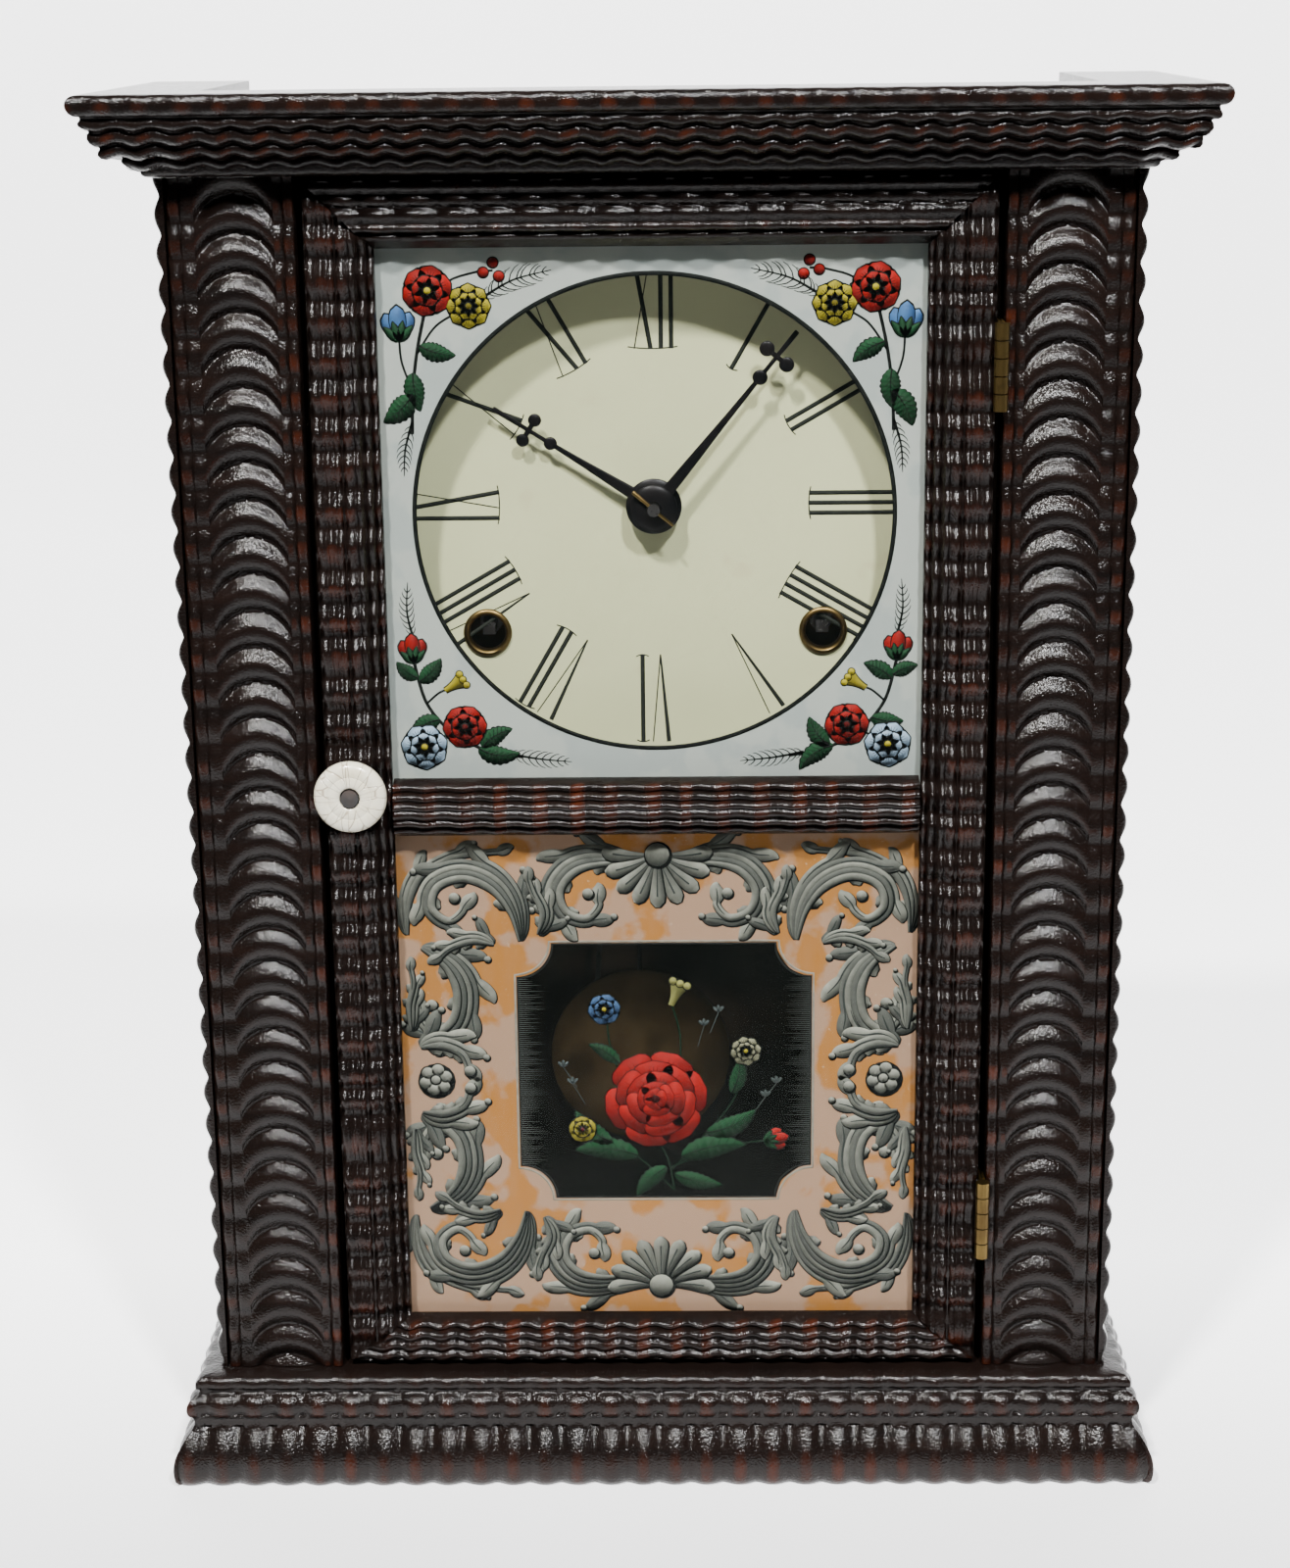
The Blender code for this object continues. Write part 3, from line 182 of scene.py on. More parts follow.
class Finish(Bench):
    # a material, with the patterns that its colours are mixed by
    def __init__(self, name):
        self.material = bpy.data.materials.new(name)
        self.material.use_nodes = True
        super().__init__(self.material.node_tree)
        self.shader = self.tree.nodes["Principled BSDF"]
        self.place = self.add("ShaderNodeTexCoord").outputs["Object"]

    def noise(self, scale, detail=3.0, stretch=None, distortion=0.0, where=None):
        where = where or self.place
        if stretch:
            where = self.result("ShaderNodeMapping", {}, {"Vector": where, "Scale": stretch})
        sockets = {"Vector": where, "Scale": scale, "Detail": detail, "Distortion": distortion}
        return self.amount(self.result("ShaderNodeTexNoise", {}, sockets))

    def cells(self, scale, where=None):
        settings = {"feature": "DISTANCE_TO_EDGE"}
        node = self.add("ShaderNodeTexVoronoi", settings, {"Vector": where or self.place, "Scale": scale})
        return self.amount(node.outputs["Distance"])

    def mark(self, name):
        return self.amount(self.add("ShaderNodeAttribute", {"attribute_name": name}).outputs["Fac"])

    def mix(self, share, first, second):
        settings = {"data_type": "RGBA"}
        colours = [c if isinstance(c, bpy.types.NodeSocket) else (*c, 1.0) for c in (first, second)]
        return self.add("ShaderNodeMix", settings, {0: share, 6: colours[0], 7: colours[1]}).outputs[2]

    def bump(self, height, distance, strength=1.0):
        sockets = {"Height": height, "Distance": distance, "Strength": strength}
        plug(self.tree, self.shader.inputs["Normal"], self.result("ShaderNodeBump", {}, sockets))

    def surface(self, sockets):
        for name, value in sockets.items():
            if name == "Base Color" and isinstance(value, tuple):
                value = (*value, 1.0)
            plug(self.tree, self.shader.inputs[name], value)
        return self.material


def makeShellac():
    # near-black shellac, worn to red-brown on the crests, with a grainy shine
    f = Finish("shellacRipple")
    crest = f.mark("crest")
    patch = f.noise(46, 2)
    chatter = f.noise(620, 2)
    fine = f.noise(1700, 2)
    grain = f.noise(30, 3, (1, 1, 9))
    broken = f.noise(170, 3, (1, 1, 0.6))
    patchy = (patch.between(0.34, 0.66) * 0.75 + 0.2) * (broken.between(0.30, 0.62) * 0.8 + 0.2)
    red = crest.between(0.42, 1.0) * patchy
    dark = f.mix(grain.between(0.3, 0.7), (0.0034, 0.0024, 0.0021), (0.0064, 0.0036, 0.0028))
    colour = f.mix(red, dark, (0.042, 0.0080, 0.0022))
    f.bump(chatter * 0.30 + fine * 0.70, 0.00027, 1.0)
    return f.surface({
        "Base Color": colour, "Roughness": chatter * 0.18 + 0.10, "Specular IOR Level": 0.20,
    })


def makePine():
    # plain unfinished softwood, gone brown with age and kept darker still as painted shade for the inside of the
    # closed case
    f = Finish("agedPine")
    grain = f.noise(42, 4, (1, 1, 0.05), 0.6)
    pores = f.noise(420, 2, (1, 1, 0.04))
    darkening = f.noise(9, 3)
    # both browns are dark from age and from painted shade
    wood = f.mix(grain.between(0.32, 0.68), (0.050, 0.027, 0.013), (0.105, 0.060, 0.029))
    stained = f.mix(darkening.between(0.35, 0.75) * 0.7, wood, (0.022, 0.013, 0.008))
    f.bump(grain * 0.6 + pores * 0.4, 0.0003, 0.5)
    return f.surface({"Base Color": stained, "Roughness": pores * 0.2 + 0.62})


def makeBrass():
    f = Finish("agedBrass")
    cloud = f.noise(55, 4)
    spots = f.noise(260, 3)
    worn = f.mix(cloud.between(0.35, 0.7), (0.17, 0.118, 0.040), (0.090, 0.058, 0.022))
    colour = f.mix(spots.between(0.55, 0.75) * 0.6, worn, (0.055, 0.036, 0.016))
    f.bump(spots, 0.00008, 0.4)
    return f.surface({"Base Color": colour, "Roughness": cloud * 0.25 + 0.25, "Metallic": 1.0})


metals = {
    # the bob has its own browner, duller brass: partly tarnish, partly painted shade for the bob hanging in the dim
    # case
    "dullBrass": {"colours": ((0.20, 0.135, 0.058), (0.115, 0.070, 0.030)), "tone": (70, 4), "edges": (0.35, 0.7),
                  "grit": (300, 3), "bump": (0.00008, 0.4), "rough": 0.42, "shine": {"Metallic": 0.8}},
    "workedSteel": {"colours": ((0.24, 0.235, 0.23), (0.10, 0.085, 0.075)), "tone": (70, 3), "edges": (0.45, 0.8),
                    "grit": (900, 2, (1, 0.08, 1)), "bump": (0.00005, 0.4), "rough": 0.2,
                    "shine": {"Metallic": 1.0}},
    # hands and other blacked steel
    "blackedSteel": {"colours": ((0.0022, 0.0022, 0.0026), (0.0065, 0.0055, 0.0055)), "tone": (120, 3),
                     "edges": (0.4, 0.75), "grit": (120, 3), "bump": (0.00006, 0.35), "rough": 0.24,
                     "shine": {"Specular IOR Level": 0.10}},
    "castIron": {"colours": ((0.035, 0.034, 0.034), (0.075, 0.040, 0.025)), "tone": (60, 4), "edges": (0.5, 0.75),
                 "grit": (520, 3), "bump": (0.00008, 0.6), "rough": 0.55, "shine": {"Metallic": 0.5}},
}


def makeMetal(name):
    metal = metals[name]
    f = Finish(name)
    cloud, grit = f.noise(*metal["tone"]), f.noise(*metal["grit"])
    colour = f.mix(cloud.between(*metal["edges"]), *metal["colours"])
    f.bump(grit, *metal["bump"])
    return f.surface({"Base Color": colour, "Roughness": grit * 0.2 + metal["rough"], **metal["shine"]})


def makeDialPaint():
    # eggshell cream on sheet metal, with fine crazing and a few stains
    f = Finish("dialCream")
    tone = f.noise(16, 3)
    stain = f.noise(85, 4)
    cracks = 1 - f.cells(70).between(0.0, 0.012)
    cream = f.mix(tone.between(0.3, 0.7), (0.455, 0.470, 0.270), (0.40, 0.415, 0.235))
    spotted = f.mix(stain.between(0.66, 0.78) * 0.35, cream, (0.34, 0.29, 0.18))
    colour = f.mix(cracks * 0.10, spotted, (0.30, 0.27, 0.19))
    f.bump(stain * 0.5 - cracks * 0.5, 0.00005, 0.3)
    return f.surface({"Base Color": colour, "Roughness": tone * 0.15 + 0.42, "Specular IOR Level": 0.35})


def makeBone():
    # turned and polished, with brown drying cracks that run outward
    f = Finish("turnedBone")
    centre = tuple(middleOf(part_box("door_knob")))
    around = f.result("ShaderNodeVectorMath", {"operation": "SUBTRACT"}, {0: f.place, 1: centre})
    x, y, z = f.axes(around)
    angle = x.sum("ARCTAN2", z, x)
    radius = (x * x + z * z) ** 0.5
    flat = f.vector(angle * 1.6, radius * 60)
    streak = f.noise(4.0, 4.0, where=flat)
    cloud = f.noise(150, 3)
    lines = (1 - f.cells(1.7, flat).between(0.0, 0.035)) * radius.between(0.002, 0.004)
    ivory = f.mix(cloud.between(0.35, 0.7), (0.66, 0.63, 0.51), (0.59, 0.54, 0.40))
    streaked = f.mix(streak.between(0.55, 0.72) * 0.35, ivory, (0.52, 0.42, 0.27))
    colour = f.mix(lines * 0.75, streaked, (0.16, 0.10, 0.055))
    f.bump(0 - lines, 0.00012, 0.8)
    return f.surface({
        "Base Color": colour, "Roughness": cloud * 0.12 + 0.22, "Coat Weight": 0.4, "Coat Roughness": 0.12,
    })


def makeGlass():
    f = Finish("oldGlass")
    wave = f.noise(14, 2)
    f.bump(wave, 0.0006, 0.25)
    return f.surface({
        "Base Color": (0.010, 0.013, 0.012), "Roughness": 0.04, "Alpha": wave * 0.03 + 0.05,
        "Specular IOR Level": 0.6,
    })


def makeGround(name, light, dark, fleck, share):
    # thin oil colour on the back of the glass, brushed and flecked
    f = Finish(name)
    cloud = f.noise(38, 4)
    brush = f.noise(330, 3, (1, 1, 0.25))
    speck = f.noise(700, 2)
    patchy = cloud * 0.8 + f.noise(150, 4) * 0.2
    body = f.mix(patchy.between(0.49, 0.53), light, dark)
    brushed = f.mix(brush.between(0.3, 0.7) * 0.16, body, light)
    colour = f.mix(speck.between(0.70, 0.78) * share, brushed, fleck)
    f.bump(brush, 0.00004, 0.3)
    return f.surface({"Base Color": colour, "Roughness": brush * 0.2 + 0.5, "Specular IOR Level": 0.05})


windowShadeSizes = {"thinX": -0.008, "thinZ": 0.121, "thinReach": 0.022, "fullReach": 0.036}


def makeSmoke():
    # thin black colour over the window: partly a printed dark border, partly painted shade for the dim case behind
    # the glass; thinner toward the middle so that the bob shows through
    f = Finish("smokedFilm")
    x, y, z = f.axes(f.place)
    dx, dz = x - windowShadeSizes["thinX"], z - windowShadeSizes["thinZ"]
    reach = (dx * dx + dz * dz) ** 0.5
    cloud = f.noise(110, 4)
    # painted shade: the film covers more toward the window's edges
    cover = reach.between(windowShadeSizes["thinReach"], windowShadeSizes["fullReach"]) * 0.50 + cloud * 0.14 + 0.16
    f.bump(cloud, 0.00003, 0.3)
    return f.surface({
        "Base Color": f.mix(cloud.between(0.4, 0.7), (0.0016, 0.0020, 0.0016), (0.0034, 0.0038, 0.0031)),
        "Roughness": cloud * 0.2 + 0.6, "Alpha": cover, "Specular IOR Level": 0.0,
    })


def makeBrushwork():
    # painted line and fill, its colour carried by each stroke
    f = Finish("brushwork")
    tint = f.add("ShaderNodeAttribute", {"attribute_name": "tint"}).outputs["Color"]
    thin = f.noise(480, 3)
    colour = f.mix(thin.between(0.35, 0.8) * 0.35, tint, (0.02, 0.022, 0.018))
    f.bump(thin, 0.00003, 0.3)
    return f.surface({"Base Color": colour, "Roughness": thin * 0.2 + 0.5, "Specular IOR Level": 0.05})


shellac = makeShellac()
pine = makePine()
brass = makeBrass()
dullBrass, steel, blued, iron = (makeMetal(name) for name in metals)
dialCream = makeDialPaint()
bone = makeBone()
glass = makeGlass()
paleGround = makeGround("paleBlueGround", (0.285, 0.312, 0.280), (0.245, 0.278, 0.258), (0.30, 0.30, 0.28), 0.35)
peachGround = makeGround("peachGround", (0.255, 0.162, 0.104), (0.260, 0.112, 0.024), (0.33, 0.27, 0.19), 0.5)
umber = makeGround("umberBacking", (0.020, 0.012, 0.007), (0.012, 0.008, 0.005), (0.035, 0.024, 0.014), 0.4)
darkening = makeSmoke()
brushwork = makeBrushwork()
print("finishes mixed")


# shared mesh work
def closeShell(mesh, smoothAngle=50):
    shell = bmesh.new()
    shell.from_mesh(mesh)
    bmesh.ops.remove_doubles(shell, verts=shell.verts, dist=1e-7)
    bmesh.ops.recalc_face_normals(shell, faces=shell.faces)
    shell.to_mesh(mesh)
    shell.free()
    mesh.shade_smooth()
    mesh.set_sharp_from_angle(angle=math.radians(smoothAngle))


def meshOf(shape, name, smoothAngle=None):
    mesh = bpy.data.meshes.new(name)
    shape.to_mesh(mesh)
    shape.free()
    if smoothAngle is not None:
        closeShell(mesh, smoothAngle)
    return mesh


def dropAttributes(mesh, keys):
    for key in keys:
        if key in mesh.attributes:
            mesh.attributes.remove(mesh.attributes[key])


def addPiece(name, mesh, body, replaced=(), material=None):
    piece = bpy.data.objects.new(name, mesh)
    bpy.context.scene.collection.objects.link(piece)
    if material is not None:
        mesh.materials.clear()
        mesh.materials.append(material)
    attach(piece, body)
    if replaced:
        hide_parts(*replaced)
    return piece


def grown(name, blank, tree, values):
    # the plain mesh that the tree makes of a blank
    holder = bpy.data.objects.new(name + "Blank", blank)
    bpy.context.scene.collection.objects.link(holder)
    modifier = holder.modifiers.new("grow", "NODES")
    modifier.node_group = tree
    ids = {item.name: item.identifier for item in tree.interface.items_tree if item.in_out == "INPUT"}
    for key, value in values.items():
        modifier[ids[key]] = value
    bpy.context.view_layer.update()
    depsgraph = bpy.context.evaluated_depsgraph_get()
    mesh = bpy.data.meshes.new_from_object(holder.evaluated_get(depsgraph))
    mesh.name = name
    holder.modifiers.clear()
    bpy.data.objects.remove(holder)
    bpy.data.meshes.remove(blank)
    return mesh


def turnedMesh(name, profile, centre, segments=64, ring=False, axis="Y"):
    # (radius, offset) pairs spun about an axis through the centre
    spin = bmesh.new()
    rows = []
    for radius, offset in profile:
        row = []
        for i in range(segments if radius > 0 else 1):
            angle = 2 * math.pi * i / segments
            a, b = radius * math.cos(angle), radius * math.sin(angle)
            spot = (a, offset, b) if axis == "Y" else (a, b, offset)
            row.append(spin.verts.new(Vector(centre) + Vector(spot)))
        rows.append(row)
    pairs = list(zip(rows, rows[1:])) + ([(rows[-1], rows[0])] if ring else [])
    for lower, upper in pairs:
        for i in range(segments):
            j = (i + 1) % segments
            corners = [lower[i % len(lower)], lower[j % len(lower)], upper[j % len(upper)], upper[i % len(upper)]]
            spin.faces.new(list(dict.fromkeys(corners)))
    for row in (rows[0], rows[-1]):
        if len(row) > 1 and not ring:
            spin.faces.new(row)
    return meshOf(spin, name, 40)


# rippled mouldings
def openTree(name, inputs):
    tree = bpy.data.node_groups.new(name, "GeometryNodeTree")
    for label, kind in inputs.items():
        tree.interface.new_socket(label, in_out="INPUT", socket_type="NodeSocket" + kind)
    tree.interface.new_socket("Shape", in_out="OUTPUT", socket_type="NodeSocketGeometry")
    b = Bench(tree)
    return b, b.add("NodeGroupInput").outputs


def closeTree(b, geometry, spot, finish):
    moved = b.result("GeometryNodeSetPosition", {}, {"Geometry": geometry, "Position": spot})
    whole = b.result("GeometryNodeRealizeInstances", {}, {"Geometry": moved})
    done = b.result("GeometryNodeSetMaterial", {}, {"Geometry": whole, "Material": finish})
    b.add("NodeGroupOutput", {}, {0: done})
    return b.tree


def rippleTree():
    lengths = ("length", "pitch", "firstCrest", "mitreZone", "wander", "seed", "wornSide", "footWear")
    kinds = {"section": "Geometry", "rows": "Int", "finish": "Material", **{key: "Float" for key in lengths}}
    b, given = openTree("rippleSweep", kinds)
    length, pitch, firstCrest, zone, wander, seed, wornSide, footWear = (b.amount(given[key]) for key in lengths)
    line = b.result("GeometryNodeCurvePrimitiveLine", {}, {"End": b.vector(length)})
    path = b.result("GeometryNodeResampleCurve", {"mode": "COUNT"}, {"Curve": line, "Count": given["rows"]})
    path = b.keep(path, "share", b.add("GeometryNodeSplineParameter").outputs["Factor"])
    ring = b.result("GeometryNodeMeshToCurve", {}, {"Mesh": given["section"]})
    ring = b.keep(ring, "section", b.position(), "FLOAT_VECTOR")
    swept = b.sweep(path, ring)

    share = b.read("share")
    out, across, rest = b.axes(b.read("section", "FLOAT_VECTOR"))
    startPull = (1 - share / zone).atLeast(0.0)
    endPull = (1 - (1 - share) / zone).atLeast(0.0)
    along = share * length - b.read("startReach") * startPull + b.read("endReach") * endPull
    chance = {"W": along * 40 + seed * 7.31, "Scale": 1.0, "Detail": 1.0}
    drift = b.amount(b.result("ShaderNodeTexNoise", {"noise_dimensions": "1D"}, chance))
    phase = (along - b.read("lag")) / pitch + firstCrest + (drift - 0.5) * wander
    turn = phase * (2 * math.pi)
    wave = (turn.cosine() * 0.5 + 0.5).atLeast(0.0) ** b.read("sharp")
    worked = 1 - footWear * (1 - share)  # shallower toward the foot
    crestLine = out - b.read("relief") * (1 - wave) * worked
    swayed = across + b.read("sway") * turn.sine()
    worn = ((turn + wornSide * (2 * math.pi)).cosine() * 0.5 + 0.5).atLeast(0.0)
    kept = b.keep(swept, "crest", worn * b.read("red"))
    return closeTree(b, kept, b.vector(along, crestLine, swayed), given["finish"])


rippler = rippleTree()
sweepKeys = ("pitch", "rowsPerCrest", "firstCrest", "mitreZone", "wander", "wornSide", "footWear")
acrossFront = ((1, 0, 0), (0, -1, 0), (0, 0, 1))  # along, outward and across, for a moulding on the front
sectionKeys = ("relief", "lag", "sway", "sharp", "red", "startReach", "endReach")


def point(out, across, relief=0.0, red=0.0, sharp=1.0, lag=0.0, sway=0.0):
    return {"out": out, "across": across, "relief": relief, "red": red, "sharp": sharp, "lag": lag,
            "sway": sway, "startReach": 0.0, "endReach": 0.0}


def bead(centre, halfWidth, top, height, count=5, **rest):
    # a half-round across the section, from one quirk to the next
    made = []
    for i in range(count):
        u = -1 + 2 * i / (count - 1)
        out = top - height * (1 - math.sqrt(max(0.0, 1 - u * u * 0.96)))
        made.append(point(out, centre + u * halfWidth, **rest))
    return made


def sweepSizes(piece, **rest):
    # the values of a piece's dictionary that shape its sweep
    return {**{key: piece[key] for key in sweepKeys if key in piece}, **rest}


def addMoulding(name, section, sizes, axes, origin, body, replaced):
    blank = bpy.data.meshes.new(name + "Section")
    edges = [(i, (i + 1) % len(section)) for i in range(len(section))]
    blank.from_pydata([(p["out"], p["across"], 0) for p in section], edges, [])
    for key in sectionKeys:
        blank.attributes.new(key, "FLOAT", "POINT").data.foreach_set("value", [p[key] for p in section])
    rows = int(sizes["length"] / sizes["pitch"] * sizes["rowsPerCrest"]) + 1
    plain = {"firstCrest": 0.0, "mitreZone": 0.1, "wander": 0.1, "wornSide": 0.0, "footWear": 0.0}
    given = {**plain, **sizes, "rows": rows, "seed": float(sizes["seed"]), "finish": shellac}
    del given["rowsPerCrest"]
    mesh = grown(name, blank, rippler, given)
    dropAttributes(mesh, ("share", "section", *sectionKeys))
    along, outward, across = (Vector(v) for v in axes)
    matrix = Matrix((along, outward, across)).transposed().to_4x4()
    matrix.translation = Vector(origin)
    mesh.transform(matrix)
    closeShell(mesh)
    return addPiece(name, mesh, body, replaced)


# base: a reeded roll, then two rows of small beads
baseMoulding = {
    "projection": 0.0136, "pitch": 0.0091, "reedDepth": 0.0016, "rowsPerCrest": 14, "inner": 0.0132,
    "returnInner": 0.0108, "front": {"mitreZone": 0.08, "seed": 3},
    "returns": {"mitreZone": 0.22, "firstCrest": 0.35, "seed": 5},
}


def baseSection(inner):
    p, h, r = baseMoulding["projection"], clock["baseTop"], baseMoulding["reedDepth"]
    roll = [(0.80, 0.0), (0.90, 0.012), (0.965, 0.05), (0.992, 0.11), (1.0, 0.17), (0.988, 0.22), (0.955, 0.28),
            (0.90, 0.335), (0.83, 0.39), (0.755, 0.44), (0.67, 0.49), (0.61, 0.525)]
    quirk = [(0.585, 0.55), (0.578, 0.585), (0.59, 0.615), (0.62, 0.64)]
    second = [(0.665, 0.65), (0.70, 0.685), (0.712, 0.725), (0.70, 0.765), (0.66, 0.80), (0.60, 0.825),
              (0.55, 0.84)]
    line = [(0.475, 0.85), (0.455, 0.87), (0.47, 0.885)]
    thin = [(0.515, 0.893), (0.535, 0.92), (0.525, 0.955), (0.48, 0.985), (0.43, 1.0)]
    section = [point(-inner, 0.0)]
    section += [point(a * p, b * h, r, 0.85 - 2.6 * max(0.0, b - 0.22), 0.6) for a, b in roll]
    section += [point(a * p, b * h, 0.15 * r, 0, 0.6) for a, b in quirk]
    section += [point(a * p, b * h, 0.95 * r, 1.0 - 3.2 * max(0.0, b - 0.68), 0.6) for a, b in second]
    section += [point(a * p, b * h, 0.1 * r, 0, 0.6) for a, b in line]
    section += [point(a * p, b * h, 0.5 * r, 0.5, 0.6) for a, b in thin]
    section += [point(0.1 * p, h), point(-inner, h)]
    return section


def mitred(section, start=True, finish=True):
    for p in section:
        reach = p["out"] - clock["sectionGap"]
        p["startReach"] = reach if start else 0.0
        p["endReach"] = reach if finish else 0.0
    return section


def roundCase(name, sizes, sectionOf, nodes):
    # the front length, then a return on each side
    given = sweepSizes(sizes, length=2 * half, **sizes["front"])
    addMoulding(name + "Front", mitred(sectionOf(sizes["inner"])), given, acrossFront, (-half, frontY, 0), "case",
                [nodes.format("front")])
    for side, sign in sides:
        given = sweepSizes(sizes, length=clock["depth"], **sizes["returns"])
        given["seed"] += sign
        addMoulding(name + side.title(), mitred(sectionOf(sizes["returnInner"]), True, False), given,
                    ((0, 1, 0), (sign, 0, 0), (0, 0, 1)), (sign * half, frontY, 0), "case", [nodes.format(side)])


roundCase("base", baseMoulding, baseSection, "base_{}_moulding")
print("base mouldings swept")


# cornice: beads and wavy beads that step out to the top edge
cornice = {
    "projection": 0.0185, "height": 0.0207, "pitch": 0.0095, "rowsPerCrest": 12, "sway": 0.00055, "inner": 0.0102,
    "returnInner": 0.0102, "front": {"mitreZone": 0.1, "wander": 0.35, "seed": 9},
    "returns": {"mitreZone": 0.25, "wander": 0.3, "seed": 12},
}


def corniceSection(inner):
    p, h, z, s = cornice["projection"], cornice["height"], clock["corniceBottom"], cornice["sway"]
    rows = [  # projection share, height share, relief, redness, sway share
        (0.0, 0.0, 0, 0, 0), (0.10, 0.0, 0, 0, 0), (0.155, 0.02, 0.0002, 0, 0.3), (0.19, 0.05, 0.0003, 0.1, 0.5),
        (0.20, 0.085, 0.0003, 0, 0.6), (0.25, 0.10, 0.0003, 0, 0.8), (0.33, 0.115, 0.0005, 0.2, 1),
        (0.385, 0.14, 0.0006, 0.45, 1), (0.41, 0.175, 0.0006, 0.4, 1), (0.40, 0.205, 0.0004, 0, 1),
        (0.39, 0.225, 0.0003, 0, 1), (0.46, 0.235, 0.0004, 0.1, 1), (0.57, 0.25, 0.0006, 0.4, 1),
        (0.635, 0.275, 0.0007, 0.7, 1), (0.67, 0.315, 0.0007, 0.8, 1), (0.665, 0.36, 0.0006, 0.4, 1),
        (0.64, 0.385, 0.0003, 0, 1), (0.645, 0.405, 0.0003, 0, 1), (0.70, 0.415, 0.0005, 0.3, 1),
        (0.76, 0.44, 0.0007, 0.9, 1), (0.785, 0.485, 0.0007, 1.0, 1), (0.78, 0.54, 0.0006, 0.6, 1),
        (0.755, 0.57, 0.0004, 0, 1), (0.77, 0.59, 0.0004, 0, 0.8), (0.83, 0.60, 0.0005, 0.2, 0.7),
        (0.868, 0.625, 0.0006, 0.4, 0.6), (0.875, 0.665, 0.0005, 0.2, 0.4), (0.85, 0.70, 0.0003, 0, 0.2),
        (0.84, 0.73, 0.0001, 0, 0), (0.85, 0.745, 0.0001, 0, 0), (0.915, 0.755, 0.0004, 0.5, 0),
        (0.965, 0.79, 0.0006, 0.9, 0), (0.992, 0.84, 0.0008, 1.0, 0), (1.0, 0.885, 0.0010, 0.8, 0),
        (0.992, 0.93, 0.0009, 0.5, 0), (0.965, 0.965, 0.0008, 0.2, 0), (0.93, 0.99, 0.0005, 0, 0),
        (0.88, 1.0, 0.0001, 0, 0), (0.6, 1.0, 0, 0, 0),
    ]
    section = [point(-inner, z)]
    section += [point(a * p, z + b * h, r * 1.15, red, 0.55, 0.0, w * s) for a, b, r, red, w in rows]
    return section + [point(-inner, z + h)]


roundCase("cornice", cornice, corniceSection, "cornice_{}")
print("cornice swept")


# pilasters: a bead, a flat block, the row of arches, a block and a bead
pilaster = {
    "width": 0.0324, "thickness": 0.0132, "pitch": 0.00975, "rowsPerCrest": 16, "firstCrest": 0.88,
    "footWear": 0.32, "wornSide": 0.14, "wander": 0.12, "sharp": 0.62, "archSoften": 0.10, "archMiddle": 0.0171,
    "archHalf": 0.0101, "archRise": 0.0068, "archDepth": 0.0030, "blockDepth": 0.0012, "archPoints": 37,
}
# the flat blocks: out, across, share of the block's relief, redness
outerBlock = [(-0.0011, 0.0035, 0.6, 0.1), (-0.0007, 0.0037, 0.8, 0.25), (-0.0004, 0.0044, 1, 0.45),
              (-0.0003, 0.0052, 1, 0.5), (-0.0003, 0.0060, 1, 0.5)]
innerBlock = [(-0.0004, 0.0276, 1, 0.7), (-0.0004, 0.0284, 1, 0.7), (-0.0008, 0.0291, 0.8, 0.4),
              (-0.0013, 0.0295, 0.5, 0.1)]


def pilasterSection():
    w, deep, sharp = pilaster["width"], pilaster["blockDepth"], pilaster["sharp"]
    middle, reach = pilaster["archMiddle"], pilaster["archHalf"]
    edge = {"relief": deep * 0.85, "sharp": sharp}
    section = [point(-pilaster["thickness"], 0.0), point(-0.0018, 0.0)]
    section += bead(0.0018, 0.0014, -0.0001, 0.0008, 6, red=0.75, **edge)
    section += [point(out, across, deep * share, red, sharp) for out, across, share, red in outerBlock]
    last = pilaster["archPoints"] - 1
    for i in range(last + 1):
        u = math.sin(-math.pi / 2 + math.pi * i / last)  # close together near the feet, where the arch is steep
        arched = 1 - u * u
        lag = pilaster["archRise"] * arched ** 0.72
        depth = deep + (pilaster["archDepth"] - deep) * min(1.0, 1.6 * arched)
        softer = sharp - pilaster["archSoften"] * min(1.0, 2 * arched)
        out = -0.0003 + 0.0003 * arched
        section.append(point(out, middle + u * reach, depth, 0.38 + 0.15 * abs(u), softer, lag))
    section += [point(out, across, deep * share, red, sharp) for out, across, share, red in innerBlock]
    section += bead(0.0310, 0.0012, -0.0001, 0.0007, 5, red=1.0, **edge)
    return section + [point(-0.0018, w), point(-pilaster["thickness"], w)]


low = clock["baseTop"] + 0.0003
high = clock["corniceBottom"] - 0.0003
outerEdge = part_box("right_pilaster")[1].x
for side, sign in sides:
    addMoulding(side + "Pilaster", pilasterSection(), sweepSizes(pilaster, length=high - low, seed=20 + sign),
                ((0, 0, 1), (0, -1, 0), (-sign, 0, 0)), (sign * outerEdge, frontY, low), "case",
                [side + "_pilaster"])
print("pilasters swept")


# sides: boards with rounded ripples across them
sideBoard = {
    "wave": 0.0018, "pitch": 0.0095, "rowsPerCrest": 14, "firstCrest": 0.3, "wander": 0.15, "inner": 0.0095,
    "face": 0.001, "sharp": 0.55,
}


def sideSection():
    wave, face, sharp, front = sideBoard["wave"], sideBoard["face"], sideBoard["sharp"], 0.0003
    inner = sideBoard["inner"] + face + 0.0003
    section = [point(-inner, 0.0135), point(-face, 0.0135), point(-face, front), point(0.0, front)]
    section += [point(wave * 0.55, front + 0.0002, wave * 0.55, 0.3, sharp)]
    section += [point(wave * 0.9, front + 0.0009, wave * 0.9, 0.5, sharp)]
    run = (clock["depth"] - 0.0026) / 5
    section += [point(wave, front + 0.0022 + i * run, wave, 0.55, sharp) for i in range(6)]
    return section + [point(-inner, clock["depth"])]


